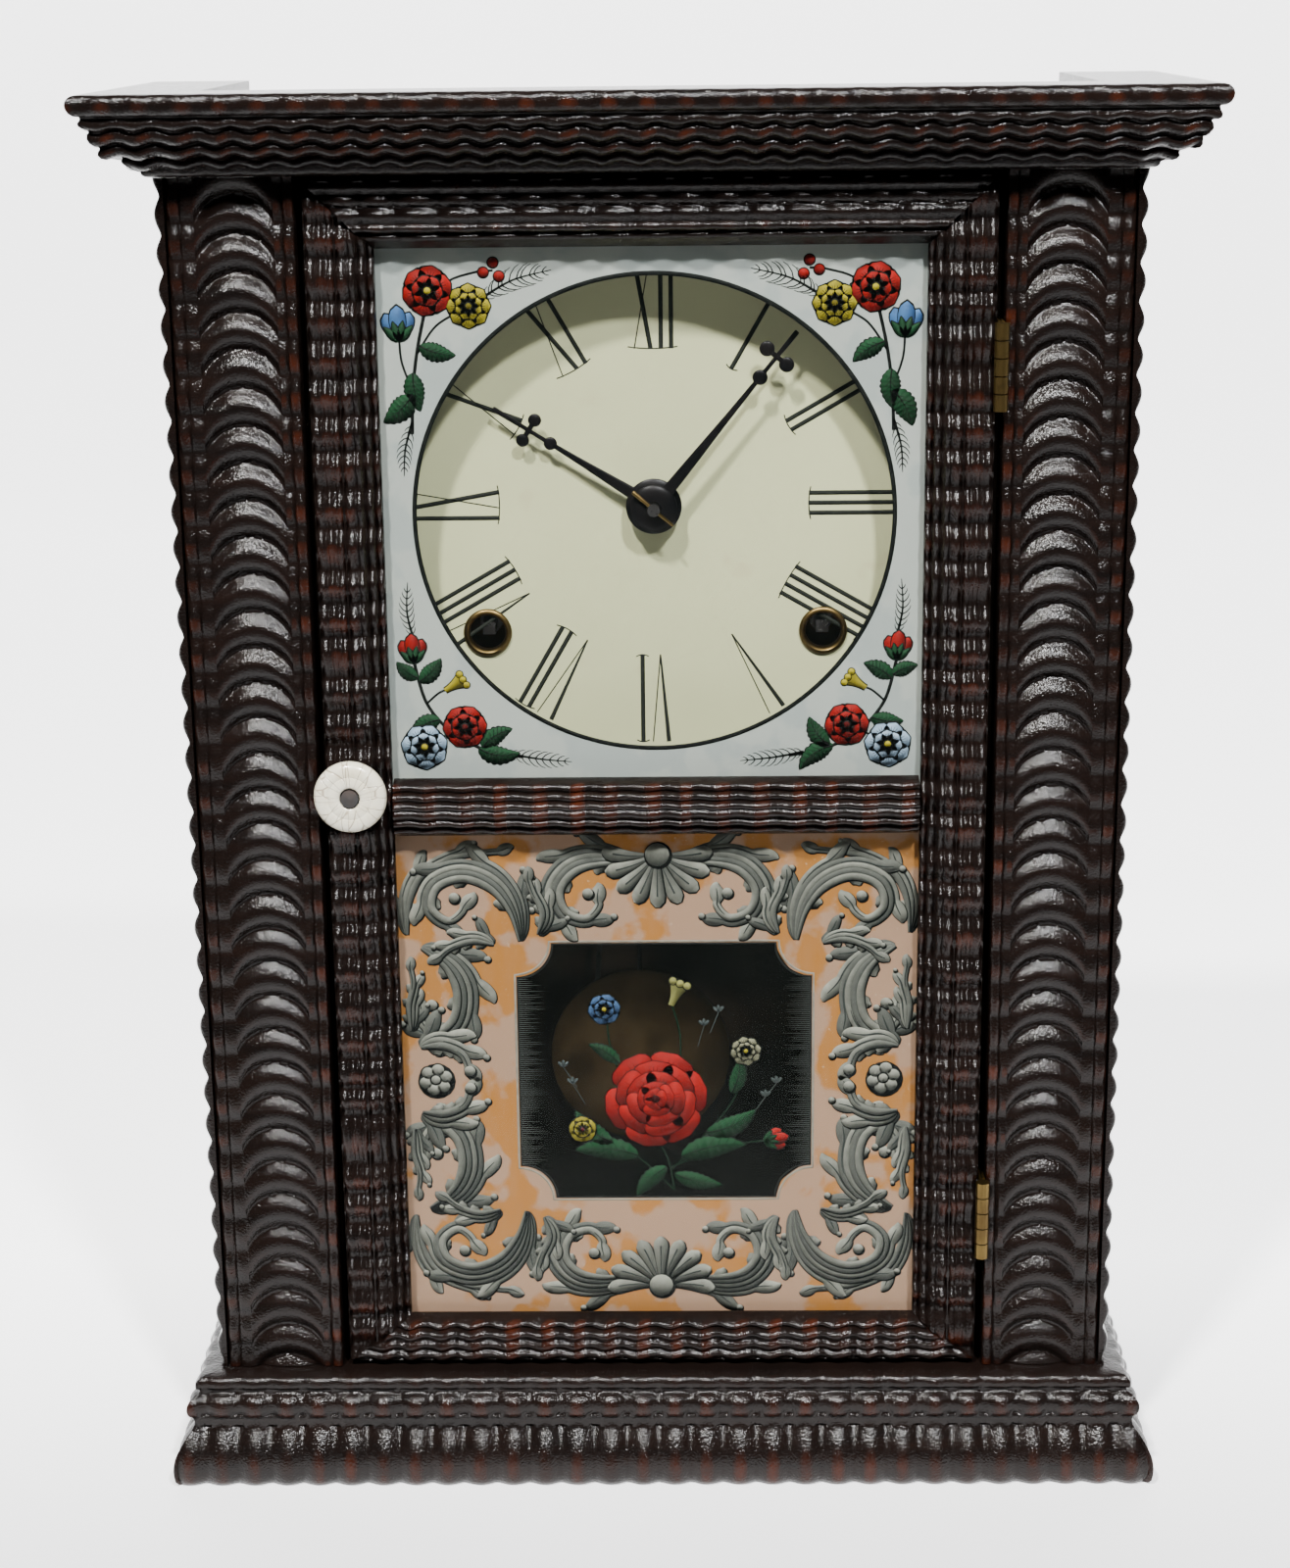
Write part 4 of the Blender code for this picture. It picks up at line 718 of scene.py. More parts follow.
for side, sign in sides:
    addMoulding(side + "Side", sideSection(), sweepSizes(sideBoard, length=high - low, seed=30 + sign),
                ((0, 0, 1), (sign, 0, 0), (0, 1, 0)), (sign * half, frontY, low), "case", [side + "_side_board"])
print("side boards swept")


# door: seven beads on each stile, paired beads on the rails
door = {
    "half": 0.0879, "bottom": 0.032, "top": 0.3587, "stile": 0.0173, "topRail": 0.0173, "bottomRail": 0.0122,
    "midBottom": 0.1852, "midRail": 0.0159, "sight": 0.0706, "thickness": 0.0138, "ledge": 0.0070,
    "rebate": 0.0036,
}


def slopeAt(share):
    # how far the front of a door member has fallen back at this share of its width
    marks = [(0.0, 0.0), (0.62, 0.0004), (0.72, 0.0010), (0.86, 0.0029), (1.0, 0.0050)]
    for (a, y0), (b, y1) in zip(marks, marks[1:]):
        if share <= b:
            return y0 + (y1 - y0) * (share - a) / (b - a)
    return marks[-1][1]


def sightEdge(width):
    # the ledge at the glass and the rebate behind it
    ledge, rebate, back = door["ledge"], door["rebate"], door["thickness"]
    return [point(-ledge + 0.0012, width - 0.0001), point(-ledge, width), point(-ledge, width - rebate),
            point(-back, width - rebate)]


def memberSection(width, beads, ends, sway=0.0, relief=0.0007, sharp=0.5, rise=0.0004):
    # beads are (centre, half width) from the member's outer edge; ends are the widths it is mitred to
    section = [point(-door["thickness"], 0.0), point(-0.0014, 0.0)]
    last = 0.0
    for centre, halfBead in beads:
        if centre - halfBead - last > 0.0009:
            quirk = -slopeAt((last + 0.0003) / width) - 0.0014
            floor = (last + 0.0004, centre - halfBead - 0.0004)
            section += [point(quirk, spot, 0.0001, sway=sway) for spot in floor]
        redness = 0.62 + 0.35 * math.sin(centre * 2100)
        section += bead(centre, halfBead, -slopeAt(centre / width), 0.45 * halfBead + rise,
                        relief=relief, red=redness, sharp=sharp, sway=sway)
        last = centre + halfBead
    section += sightEdge(width)
    for p in section:
        p["lag"] = 0.00025 * math.sin(p["across"] * 1900)
        for key, reach in zip(("startReach", "endReach"), ends):
            p[key] = -p["across"] / width * reach - clock["sectionGap"]
    return section


stile = {
    "beads": [(0.0015, 0.0011), (0.0040, 0.0007), (0.0064, 0.0008), (0.0092, 0.0010), (0.0117, 0.0008),
              (0.0142, 0.0009), (0.0163, 0.0008)],
    "relief": 0.0021, "sharp": 0.85, "pitch": 0.0098, "rowsPerCrest": 11, "firstCrest": 0.2, "mitreZone": 0.06,
    "wander": 0.9, "wornSide": 0.16,
}
rails = {
    "top": {"beads": [(0.0016, 0.0011), (0.0048, 0.0014), (0.0086, 0.0015), (0.0119, 0.0010), (0.0142, 0.0009)],
            "sway": 0.00008, "relief": 0.0012, "rise": 0.0004, "pitch": 0.0098, "rowsPerCrest": 11,
            "mitreZone": 0.1, "wander": 0.5},
    "bottom": {"beads": [(0.0014, 0.0011), (0.0042, 0.0013), (0.0072, 0.0012), (0.0097, 0.0008)],
               "sway": 0.00048, "relief": 0.0009, "rise": 0.0006, "pitch": 0.0092, "rowsPerCrest": 11,
               "mitreZone": 0.1, "wander": 0.5},
    "mid": {"sway": 0.00018, "relief": 0.0009, "pitch": 0.0098, "rowsPerCrest": 11, "wander": 0.5},
}
for side, sign in sides:
    ends = (door["bottomRail"], door["topRail"])
    section = memberSection(door["stile"], stile["beads"], ends, 0.0, stile["relief"], stile["sharp"])
    sizes = sweepSizes(stile, length=door["top"] - door["bottom"], seed=41 + sign)
    addMoulding("doorStile" + side.title(), section, sizes, ((0, 0, 1), (0, -1, 0), (-sign, 0, 0)),
                (sign * door["half"], frontY, door["bottom"]), "door", [f"door_{side}_stile"])
for place, inward, seed in (("top", -1, 47), ("bottom", 1, 49)):
    rail = rails[place]
    section = memberSection(door[place + "Rail"], rail["beads"], (door["stile"], door["stile"]), rail["sway"],
                            rail["relief"], 0.5, rail["rise"])
    addMoulding("doorRail" + place.title(), section, sweepSizes(rail, length=2 * door["half"], seed=seed),
                ((1, 0, 0), (0, -1, 0), (0, 0, inward)), (-door["half"], frontY, door[place]), "door",
                [f"door_{place}_rail"])


def midRailSection():
    width, ledge, rail = door["midRail"], door["ledge"], rails["mid"]
    mid = width / 2
    beads = ((0.0022, 0.0010, -0.0026), (0.0043, 0.0009, -0.0012), (mid - 0.0009, 0.0011, -0.0003),
             (mid + 0.0012, 0.0009, -0.0002), (width - 0.0044, 0.0010, -0.0010), (width - 0.0022, 0.0010, -0.0026))
    section = [point(-ledge, 0.0), point(-ledge + 0.0012, 0.0001)]
    for centre, halfBead, top in beads:
        section += bead(centre, halfBead, top, 0.0008, relief=rail["relief"], red=0.9, sharp=0.5, sway=rail["sway"])
    section += sightEdge(width)
    return section + [point(-door["thickness"], door["rebate"]), point(-ledge, door["rebate"])]


sizes = sweepSizes(rails["mid"], length=2 * door["sight"] - 0.0006, seed=53)
addMoulding("doorRailMiddle", midRailSection(), sizes, acrossFront,
            (-door["sight"] + 0.0003, frontY, door["midBottom"]), "door", ["door_mid_rail"])
print("door members swept")


# painted work: every line, leaf and petal is a path with a width along it
paint = {
    "lift": 0.00002,  # off its ground
    "layer": 0.00001,  # from one level of strokes to the next
    "fineLayer": 0.000003,
    "lamp": (-0.55, 0.0, 0.83),  # the way to the painted light
}


def brushTree():
    b, given = openTree("brushRibbon", {"paths": "Geometry", "film": "Float", "finish": "Material"})

    def vector(operation, sockets):
        return b.add("ShaderNodeVectorMath", {"operation": operation}, sockets)

    path = b.result("GeometryNodeMeshToCurve", {}, {"Mesh": given["paths"]})
    path = b.keep(path, "centre", b.position(), "FLOAT_VECTOR")
    path = b.keep(path, "heading", b.result("GeometryNodeInputTangent"), "FLOAT_VECTOR")
    quad = b.result("GeometryNodeCurvePrimitiveQuadrilateral", {}, {"Width": 2.0, "Height": 2.0})
    quad = b.keep(quad, "corner", b.position(), "FLOAT_VECTOR")
    swept = b.sweep(path, quad)
    aside, behind, rest = b.axes(b.read("corner", "FLOAT_VECTOR"))
    flank = vector("CROSS_PRODUCT", {0: b.read("heading", "FLOAT_VECTOR"), 1: (0, 1, 0)}).outputs[0]
    sideways = vector("SCALE", {0: flank, "Scale": aside * b.read("halfWidth")}).outputs[0]
    depth = behind * b.amount(given["film"]) * 0.5 - b.read("lift")
    spread = vector("ADD", {0: b.read("centre", "FLOAT_VECTOR"), 1: sideways}).outputs[0]
    spot = vector("ADD", {0: spread, 1: b.vector(0.0, depth)}).outputs[0]
    lit = b.amount(vector("DOT_PRODUCT", {0: flank, 1: paint["lamp"]}).outputs["Value"])
    facing = lit * aside * 0.5 + 0.5
    tones = {0: facing, 6: b.read("shade", "FLOAT_COLOR"), 7: b.read("tint", "FLOAT_COLOR")}
    blended = b.add("ShaderNodeMix", {"data_type": "RGBA"}, tones).outputs[2]
    return closeTree(b, b.keep(swept, "tint", blended, "FLOAT_COLOR"), spot, given["finish"])


brush = brushTree()


class Painting:
    # strokes in the plane of a panel, (x, z) in metres; a second tint shades the side away from the lamp
    def __init__(self, ground, layer=paint["layer"]):
        self.depth = ground - paint["lift"]
        self.layer = layer
        self.points, self.edges, self.halfWidths, self.lifts, self.tints, self.shades = [], [], [], [], [], []

    def stroke(self, path, width, tint, level=0, closed=False, shade=None):
        first = len(self.points)
        last = len(path) - 1
        for i, (x, z) in enumerate(path):
            share = i / last
            self.points.append((x, atDepth(self.depth), z))
            self.halfWidths.append(0.5 * (width(share) if callable(width) else width))
            self.lifts.append(level * self.layer)
            self.tints.append(tint(share) if callable(tint) else tint)
            self.shades.append(self.tints[-1] if shade is None else shade(share) if callable(shade) else shade)
        self.edges += [(first + i, first + i + 1) for i in range(last)]
        if closed:
            self.edges.append((first + last, first))

    def leaf(self, x, z, angle, length, width, tint, level=0, bend=0.0, steps=22, teeth=0.0, shade=None):
        # grows from its stalk end; teeth notch the edge
        def wide(s):
            notch = 1 - teeth * (round(s * (steps - 1)) % 3 == 0)
            return width * (math.sin(math.pi * s ** 0.8) ** 0.8 + 0.03) * notch

        shares = [i / (steps - 1) for i in range(steps)]
        path = [on(x, z, length * share, angle + bend * (share - 0.5)) for share in shares]
        self.stroke(path, wide, tint, level, False, shade)
        return path

    def petal(self, x, z, angle, length, width, tint, level=0, shade=None):
        def wide(s):
            return width * math.sqrt(max(0.004, 1 - (2 * s ** 1.3 - 1) ** 2))

        self.stroke([on(x, z, length * i / 8, angle) for i in range(9)], wide, tint, level, False, shade)

    def spot(self, x, z, radius, tint, level=0, shade=None):
        path = [(x - radius * math.cos(math.pi * i / 8), z) for i in range(9)]
        self.stroke(path, lambda s: 2 * radius * math.sin(math.pi * s) + 1e-5, tint, level, False, shade)

    def ring(self, x, z, radius, width, tint, level=0, count=96):
        path = [on(x, z, radius, 2 * math.pi * i / count) for i in range(count)]
        self.stroke(path, width, tint, level, True)

    def make(self, name, body):
        blank = bpy.data.meshes.new(name + "Paths")
        blank.from_pydata(self.points, self.edges, [])
        blank.attributes.new("halfWidth", "FLOAT", "POINT").data.foreach_set("value", self.halfWidths)
        blank.attributes.new("lift", "FLOAT", "POINT").data.foreach_set("value", self.lifts)
        for key, colours in (("tint", self.tints), ("shade", self.shades)):
            flat = [c for colour in colours for c in (*colour, 1.0)]
            blank.attributes.new(key, "FLOAT_COLOR", "POINT").data.foreach_set("color", flat)
        mesh = grown(name, blank, brush, {"film": 0.6 * self.layer, "finish": brushwork})
        dropAttributes(mesh, ("halfWidth", "lift", "centre", "heading", "corner", "shade"))
        print(name, len(mesh.polygons), "faces")
        return addPiece(name, mesh, body)


def on(x, z, radius, angle):
    return (x + radius * math.cos(angle), z + radius * math.sin(angle))


def curve(marks, steps=8):
    # a smooth path through the marks
    padded = [marks[0], *marks, marks[-1]]
    path = []
    for a, b, c, d in zip(padded, padded[1:], padded[2:], padded[3:]):
        for i in range(steps):
            t = i / steps
            path.append(tuple(
                0.5 * (2 * q + (r - p) * t + (2 * p - 5 * q + 4 * r - s) * t * t + (3 * q - p - 3 * r + s) * t ** 3)
                for p, q, r, s in zip(a, b, c, d)))
    return path + [marks[-1]]


def blend(first, second, share):
    return tuple(a + (b - a) * share for a, b in zip(first, second))


# dial: numerals and a minute track
dial = {
    "inner": 0.0412, "outer": 0.0655, "thick": 0.00118, "thin": 0.00030, "strokeGap": 0.0027, "wide": 0.0043,
    "serifReach": 0.0017, "serifCurl": 0.0005, "trackInner": 0.0674, "trackOuter": 0.0695, "trackLine": 0.00025,
    "minuteMark": 0.0003, "fiveMark": 0.0007,
}
inkTint = (0.012, 0.014, 0.011)
numerals = ["XII", "I", "II", "III", "IIII", "V", "VI", "VII", "VIII", "IX", "X", "XI"]
faceDepth = dialLow.y - frontY
figures = Painting(faceDepth)
for hour, numeral in enumerate(numerals):
    turn = math.pi / 2 - hour * math.pi / 6
    outward, rightward = (math.cos(turn), math.sin(turn)), (math.sin(turn), -math.cos(turn))

    def at(across, along):
        r = dial["inner"] + along
        return (outward[0] * r + rightward[0] * across, dialZ + outward[1] * r + rightward[1] * across)

    widths = [0.0 if letter == "I" else dial["wide"] for letter in numeral]
    total = sum(widths) + dial["strokeGap"] * (len(numeral) - 1) * 0.98
    tall = dial["outer"] - dial["inner"]
    edge = -total / 2
    footings = []
    for letter, width in zip(numeral, widths):
        middle = edge + width / 2
        if letter == "I":
            figures.stroke([at(middle, 0), at(middle, tall)], dial["thick"], inkTint, 1)
            footings.append((middle, middle))
        elif letter == "V":
            leg = [at(middle, 0), at(edge, tall)]
            figures.stroke(leg, lambda s: dial["thick"] * min(1.0, 0.35 + 3 * s), inkTint, 1)
            figures.stroke([at(middle, 0), at(edge + width, tall)], dial["thin"], inkTint, 1)
        else:
            figures.stroke([at(edge + width, 0), at(edge, tall)], dial["thick"], inkTint, 1)
            figures.stroke([at(edge, 0), at(edge + width, tall)], dial["thin"], inkTint, 1)
            footings.append((edge, edge + width))
        edge += width + dial["strokeGap"]
    if footings:
        start = footings[0][0] - dial["serifReach"]
        span = footings[-1][1] + dial["serifReach"] - start
        for along, curl in ((0, dial["serifCurl"]), (tall, -dial["serifCurl"])):
            shares = [i / 8 for i in range(9)]
            serif = [at(start + span * share, along + curl * (2 * share - 1) ** 2) for share in shares]
            figures.stroke(serif, dial["thin"], inkTint, 2)
for minute in range(60):
    turn = math.pi * minute / 30
    mark = [on(0, dialZ, dial[key], turn) for key in ("trackInner", "trackOuter")]
    figures.stroke(mark, dial["fiveMark"] if minute % 5 == 0 else dial["minuteMark"], inkTint, 1)
for key in ("trackInner", "trackOuter"):
    figures.ring(0, dialZ, dial[key], dial["trackLine"], inkTint, 2, 180)
figures.make("dialFigures", "case")
print("dial figures painted")


# upper tablet: pale ground round the sight circle, a spray in each corner
tablet = {
    "depth": 0.00954, "film": 0.00004, "backingStart": 0.000041, "backing": 0.000014, "circle": 0.0631,
    "circleX": 0.00025, "circleZ": 0.2714, "circleSteps": 160, "rim": 0.0012,
}
upperLow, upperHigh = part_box("upper_glass")
lowerLow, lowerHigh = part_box("lower_glass")


def framedFilm(name, inner, low, high, material, start=0.0, thick=tablet["film"]):
    # a thin film between an inner outline and the rebate
    start += tablet["depth"]
    middle = (sum(x for x, z in inner) / len(inner), sum(z for x, z in inner) / len(inner))
    outer = []
    for x, z in inner:
        dx, dz = x - middle[0], z - middle[1]
        reachX = ((high.x if dx > 0 else low.x) - middle[0]) / dx if abs(dx) > 1e-9 else 1e9
        reachZ = ((high.z if dz > 0 else low.z) - middle[1]) / dz if abs(dz) > 1e-9 else 1e9
        share = min(reachX, reachZ)
        outer.append((middle[0] + dx * share, middle[1] + dz * share))
    for corner in ((low.x, low.z), (low.x, high.z), (high.x, low.z), (high.x, high.z)):
        nearest = min(range(len(outer)), key=lambda i: math.dist(outer[i], corner))
        outer[nearest] = corner
    film = bmesh.new()
    rings = []
    for depth in (start, start + thick):
        for outline in (inner, outer):
            rings.append([film.verts.new((x, atDepth(depth), z)) for x, z in outline])
    frontIn, frontOut, backIn, backOut = rings
    count = len(inner)
    for i in range(count):
        j = (i + 1) % count
        for a, b in ((frontIn, frontOut), (frontOut, backOut), (backOut, backIn), (backIn, frontIn)):
            film.faces.new((a[i], a[j], b[j], b[i]))
    return addPiece(name, meshOf(film, name, 30), "door", (), material)


steps = tablet["circleSteps"]
circle = [on(tablet["circleX"], tablet["circleZ"], tablet["circle"], 2 * math.pi * (i + 0.5) / steps)
          for i in range(steps)]
framedFilm("upperGround", circle, upperLow, upperHigh, paleGround)
framedFilm("upperBacking", circle, upperLow, upperHigh, umber, tablet["backingStart"], tablet["backing"])

green, darkGreen = (0.008, 0.046, 0.016), (0.0022, 0.0120, 0.0050)
red, darkRed = (0.27, 0.008, 0.006), (0.055, 0.0015, 0.0015)
yellow, olive = (0.27, 0.23, 0.014), (0.085, 0.070, 0.005)
blue, deepBlue = (0.060, 0.15, 0.31), (0.012, 0.035, 0.10)
paleBlue, black = (0.27, 0.37, 0.46), (0.003, 0.004, 0.0035)


def flower(painting, x, z, radius, petals, tint, shade, heart, level=2, turn=0.0):
    # open double flower: outlined petals in two rings, each with fine veins, round a small heart
    for scale, shift in ((1.0, 0.0), (0.62, 0.5)):
        size = radius * scale
        wide = size * 2.15 * math.sin(math.pi / petals)
        ways = [turn + 2 * math.pi * (i + shift) / petals for i in range(petals)]
        for way in ways:
            painting.petal(x, z, way, size + 0.0003, wide + 0.0006, black, level)
        painting.spot(x, z, size * 0.55, blend(tint, shade, 0.6), level + 1)
        for way in ways:
            painting.petal(x, z, way, size, wide * 0.90, tint, level + 2, blend(tint, shade, 0.7))
            for side in (-0.17, 0.0, 0.17):
                painting.stroke([on(x, z, size * 0.35, way), on(x, z, size * 0.80, way + side)],
                                lambda s: 0.00024 * (1 - s) + 0.00008, black, level + 3)
        level += 4
    painting.spot(x, z, radius * 0.20, black, level)
    painting.spot(x, z, radius * 0.14, heart, level + 1)


def tulip(painting, x, z, angle, size, tint, shade, level=2):
    # closed flower seen from the side, three petals in a green cup
    for turn, reach in ((-0.42, 0.86), (0.42, 0.86), (0.0, 1.0)):
        painting.petal(x, z, angle + turn, size * reach * 1.06, size * 0.46 + 0.0005, black, level)
        painting.petal(x, z, angle + turn, size * reach, size * 0.46, tint, level + 1, shade)
        level += 2
    for turn in (-0.75, 0.75, -0.25, 0.25):
        painting.leaf(x, z, angle + turn, size * 0.62, size * 0.22 + 0.0004, black, level)
        painting.leaf(x, z, angle + turn, size * 0.58, size * 0.20, green, level + 1, 0.0, 12, 0.0, darkGreen)


def bellFlower(painting, x, z, angle, size, tint, shade, level=2):
    # hanging bell with a frilled lip
    edge, body = ([on(x, z, size * reach * i / 8, angle) for i in range(9)] for reach in (1.0, 0.96))
    painting.stroke(edge, lambda s: size * (0.26 + 0.62 * s ** 2) + 0.0005, black, level)
    painting.stroke(body, lambda s: size * (0.24 + 0.60 * s ** 2), tint, level + 1, False, shade)
    lip = on(x, z, size * 0.98, angle)
    for k in (-1, 0, 1):
        rim = (lip[0] - math.sin(angle) * k * size * 0.30, lip[1] + math.cos(angle) * k * size * 0.30)
        painting.spot(*rim, size * 0.19, black, level + 2)
        painting.spot(*rim, size * 0.15, tint, level + 3)


def veinedLeaf(painting, x, z, angle, length, width, bend=0.0, level=1):
    # toothed leaf: black edge, green body, darker veins
    painting.leaf(x, z, angle, length * 1.03, width + 0.0007, black, level, bend, 25, 0.13)
    path = painting.leaf(x, z, angle, length, width, green, level + 1, bend, 25, 0.12, darkGreen)
    painting.stroke(path[:-2], lambda s: 0.00034 * (1 - s) + 0.0001, black, level + 2)
    for i in range(5, 21, 3):
        reach = width * 0.50 * math.sin(math.pi * i / 24)
        for side in (-1, 1):
            painting.stroke([path[i], on(*path[i], reach, angle + side * 0.75)], 0.00016, black, level + 2)


def frond(painting, marks, spread, count, tint, level=1):
    # a dark feathered stem, its barbs swept forward
    path = curve(marks, 10)
    painting.stroke(path, lambda s: 0.0006 * (1 - s) + 0.0002, tint, level)
    for i in range(1, count + 1):
        share = i / (count + 1)
        k = int(share * (len(path) - 2))
        (x0, z0), (x1, z1) = path[k], path[k + 1]
        way = math.atan2(z1 - z0, x1 - x0)
        reach = spread * math.sin(math.pi * (0.12 + 0.83 * share))
        for side in (-1, 1):
            barb = [(x0, z0), on(x0, z0, 0.5 * reach, way + side * 0.95)]
            barb.append(on(*barb[-1], 0.5 * reach, way + side * 0.60))
            barb.append(on(*barb[-1], 0.35 * reach, way + side * 0.20))
            painting.stroke(barb, lambda s: 0.00036 * (1 - 0.6 * s), tint, level)


spray = {"cornerX": 0.0706, "top": 0.3414, "bottom": 0.2011}


def cornerSpray(painting, flip, top):
    # a bunch laid into a corner; marks are millimetres in and away from the corner
    up = -1 if top else 1
    cornerX, cornerZ = -spray["cornerX"] * flip, spray["top" if top else "bottom"]

    def p(x, z):
        return (cornerX + flip * x / 1000, cornerZ + up * z / 1000)

    def way(degrees):
        a = math.radians(degrees) * up
        return a if flip > 0 else math.pi - a

    def twig(*marks, width=0.0006):
        painting.stroke(curve([p(*mark) for mark in marks]), width, black, 1)

    if top:
        twig((8, 48), (8.5, 37), (10, 26), (13, 13), width=0.0009)
        twig((8.5, 37), (5.8, 29), (5.4, 22))
        twig((10, 27), (15, 20), (22, 16))
        twig((12.5, 16), (18, 9), (25, 6.5), (30, 6))
        frond(painting, [p(27, 13), p(35, 8.5), p(45, 6)], 0.0040, 11, black)
        frond(painting, [p(8, 45), p(6, 52), p(5.5, 59)], 0.0026, 8, black)
        veinedLeaf(painting, *p(8.4, 37.5), way(128), 0.0105, 0.0056, -0.3)
        veinedLeaf(painting, *p(8.6, 32), way(86), 0.0100, 0.0048, 0.2)
        veinedLeaf(painting, *p(10.5, 25), way(24), 0.0095, 0.0044, 0.3)
        veinedLeaf(painting, *p(17, 10), way(52), 0.0080, 0.0038, 0.3)
        tulip(painting, *p(5.4, 24), way(-93), 0.0092, blue, deepBlue, 4)
        flower(painting, *p(23.5, 15), 0.0057, 8, yellow, olive, olive, 12)
        flower(painting, *p(13, 11), 0.0064, 6, red, darkRed, yellow, 12, 0.3)
        for x, z in ((27.5, 6.5), (30, 4), (31.5, 7.5)):  # berries
            painting.spot(*p(x, z), 0.0016, black, 2)
            painting.spot(*p(x, z), 0.0013, red, 3, darkRed)
    else:
        twig((35, 5), (25, 7), (16, 12), (9.5, 20), (6.5, 31), width=0.0009)
        twig((16, 12), (12, 10), (9, 8.5))
        twig((9.5, 20), (13, 23), (16, 24))
        frond(painting, [p(31, 6), p(39, 4.5), p(48, 3.6)], 0.0030, 9, black)
        frond(painting, [p(6.4, 38), p(5, 45), p(5.4, 53)], 0.0026, 8, black)
        veinedLeaf(painting, *p(23, 7.6), way(-22), 0.0110, 0.0048, 0.5)
        veinedLeaf(painting, *p(24, 7.6), way(44), 0.0095, 0.0044, -0.4)
        veinedLeaf(painting, *p(13, 15.5), way(196), 0.0085, 0.0044, 0.3)
        veinedLeaf(painting, *p(7.6, 26), way(38), 0.0085, 0.0042, 0.3)
        veinedLeaf(painting, *p(7.4, 27), way(150), 0.0070, 0.0036, -0.3)
        flower(painting, *p(8.5, 8), 0.0062, 7, paleBlue, (0.10, 0.16, 0.22), yellow, 12, 0.3)
        flower(painting, *p(19.5, 13.5), 0.0058, 6, red, darkRed, darkRed, 12, 0.1)
        bellFlower(painting, *p(14.5, 23.5), way(32), 0.0058, yellow, olive, 6)
        tulip(painting, *p(6.4, 31), way(94), 0.0080, red, darkRed, 4)


upperArt = Painting(tablet["depth"])
rim = tablet["rim"]
upperArt.ring(tablet["circleX"], tablet["circleZ"], tablet["circle"] - 0.1 * rim, rim, black, 1, steps)
for flip in (-1, 1):
    cornerSpray(upperArt, flip, True)
    cornerSpray(upperArt, flip, False)
upperArt.make("upperSprays", "door")
print("upper tablet painted")


# lower tablet: peach ground, grey scrolls and a clear window with scooped corners
window = {"left": -0.039, "right": 0.0422, "bottom": 0.0777, "top": 0.1533, "notch": 0.0097, "shadingLines": 96}


def windowOutline(grow=0.0):
    left, right = window["left"] - grow, window["right"] + grow
    low, high = window["bottom"] - grow, window["top"] + grow
    r = window["notch"] - grow * 0.4
    outline = []
    for x, z, start in ((right, high, 270), (left, high, 0), (left, low, 90), (right, low, 180)):
        # each scoop is centred on the corner and runs clockwise inside it
        for i in range(15):
            a = math.radians(start - 90 * i / 14)
            outline.append(on(x, z, r, a))
    path = []
    for a, b in zip(outline, outline[1:] + outline[:1]):
        parts = max(1, int(math.dist(a, b) / 0.003))
        path += [(a[0] + (b[0] - a[0]) * i / parts, a[1] + (b[1] - a[1]) * i / parts) for i in range(parts)]
    return path


framedFilm("lowerGround", windowOutline(), lowerLow, lowerHigh, peachGround)
framedFilm("lowerBacking", windowOutline(), lowerLow, lowerHigh, umber, tablet["backingStart"], tablet["backing"])


def windowPane():
    # the dark see-through film that fills the window, partly painted shade for the dim case behind it
    outline = windowOutline(-0.0001)
    film = bmesh.new()
    front, back = ([film.verts.new((x, atDepth(depth), z)) for x, z in outline]
                   for depth in (tablet["depth"], tablet["depth"] + tablet["film"]))
    film.faces.new(front)
    film.faces.new(back)
    for i in range(len(outline)):
        j = (i + 1) % len(outline)
        film.faces.new((front[i], front[j], back[j], back[i]))
    bmesh.ops.triangulate(film, faces=film.faces)
    addPiece("windowFilm", meshOf(film, "windowFilm", 30), "door", (), darkening)


windowPane()
stone, stoneLight = (0.074, 0.079, 0.068), (0.262, 0.268, 0.218)
stoneDark, stoneBlack = (0.022, 0.027, 0.025), (0.0030, 0.0042, 0.0042)


def headings(path):
    ends = list(zip(path, path[1:])) + [(path[-2], path[-1])]
    return [math.atan2(b[1] - a[1], b[0] - a[0]) for a, b in ends]


def shifted(path, right, down):
    return [(x + right, z - down) for x, z in path]


def roundTip(share, start, least):
    # 1 as far as the start of the tip, then falling off in a round
    return math.sqrt(max(least, 1 - max(0.0, (share - start) / (1 - start)) ** 2))


def stud(painting, x, z, radius, edge, level, down=0.0004, shade=stoneDark, right=0.0003):
    # a raised dot with a dark edge below and to the right
    painting.spot(x + right, z - down, edge, stoneBlack, level)
    painting.spot(x, z, radius, stoneLight, level + 1, shade)


def flute(painting, path, width, level, edge=0.00055):
    # one ribbon of a leaf: black edge, then a face that is light toward the lamp and at its tip
    painting.stroke(shifted(path, 0.00022, 0.00028), lambda s: width(s) + edge, stoneBlack, level)
    painting.stroke(path, width, lambda s: blend(stone, stoneLight, s), level + 1, False,
                    lambda s: blend(stoneBlack, stoneDark, s))


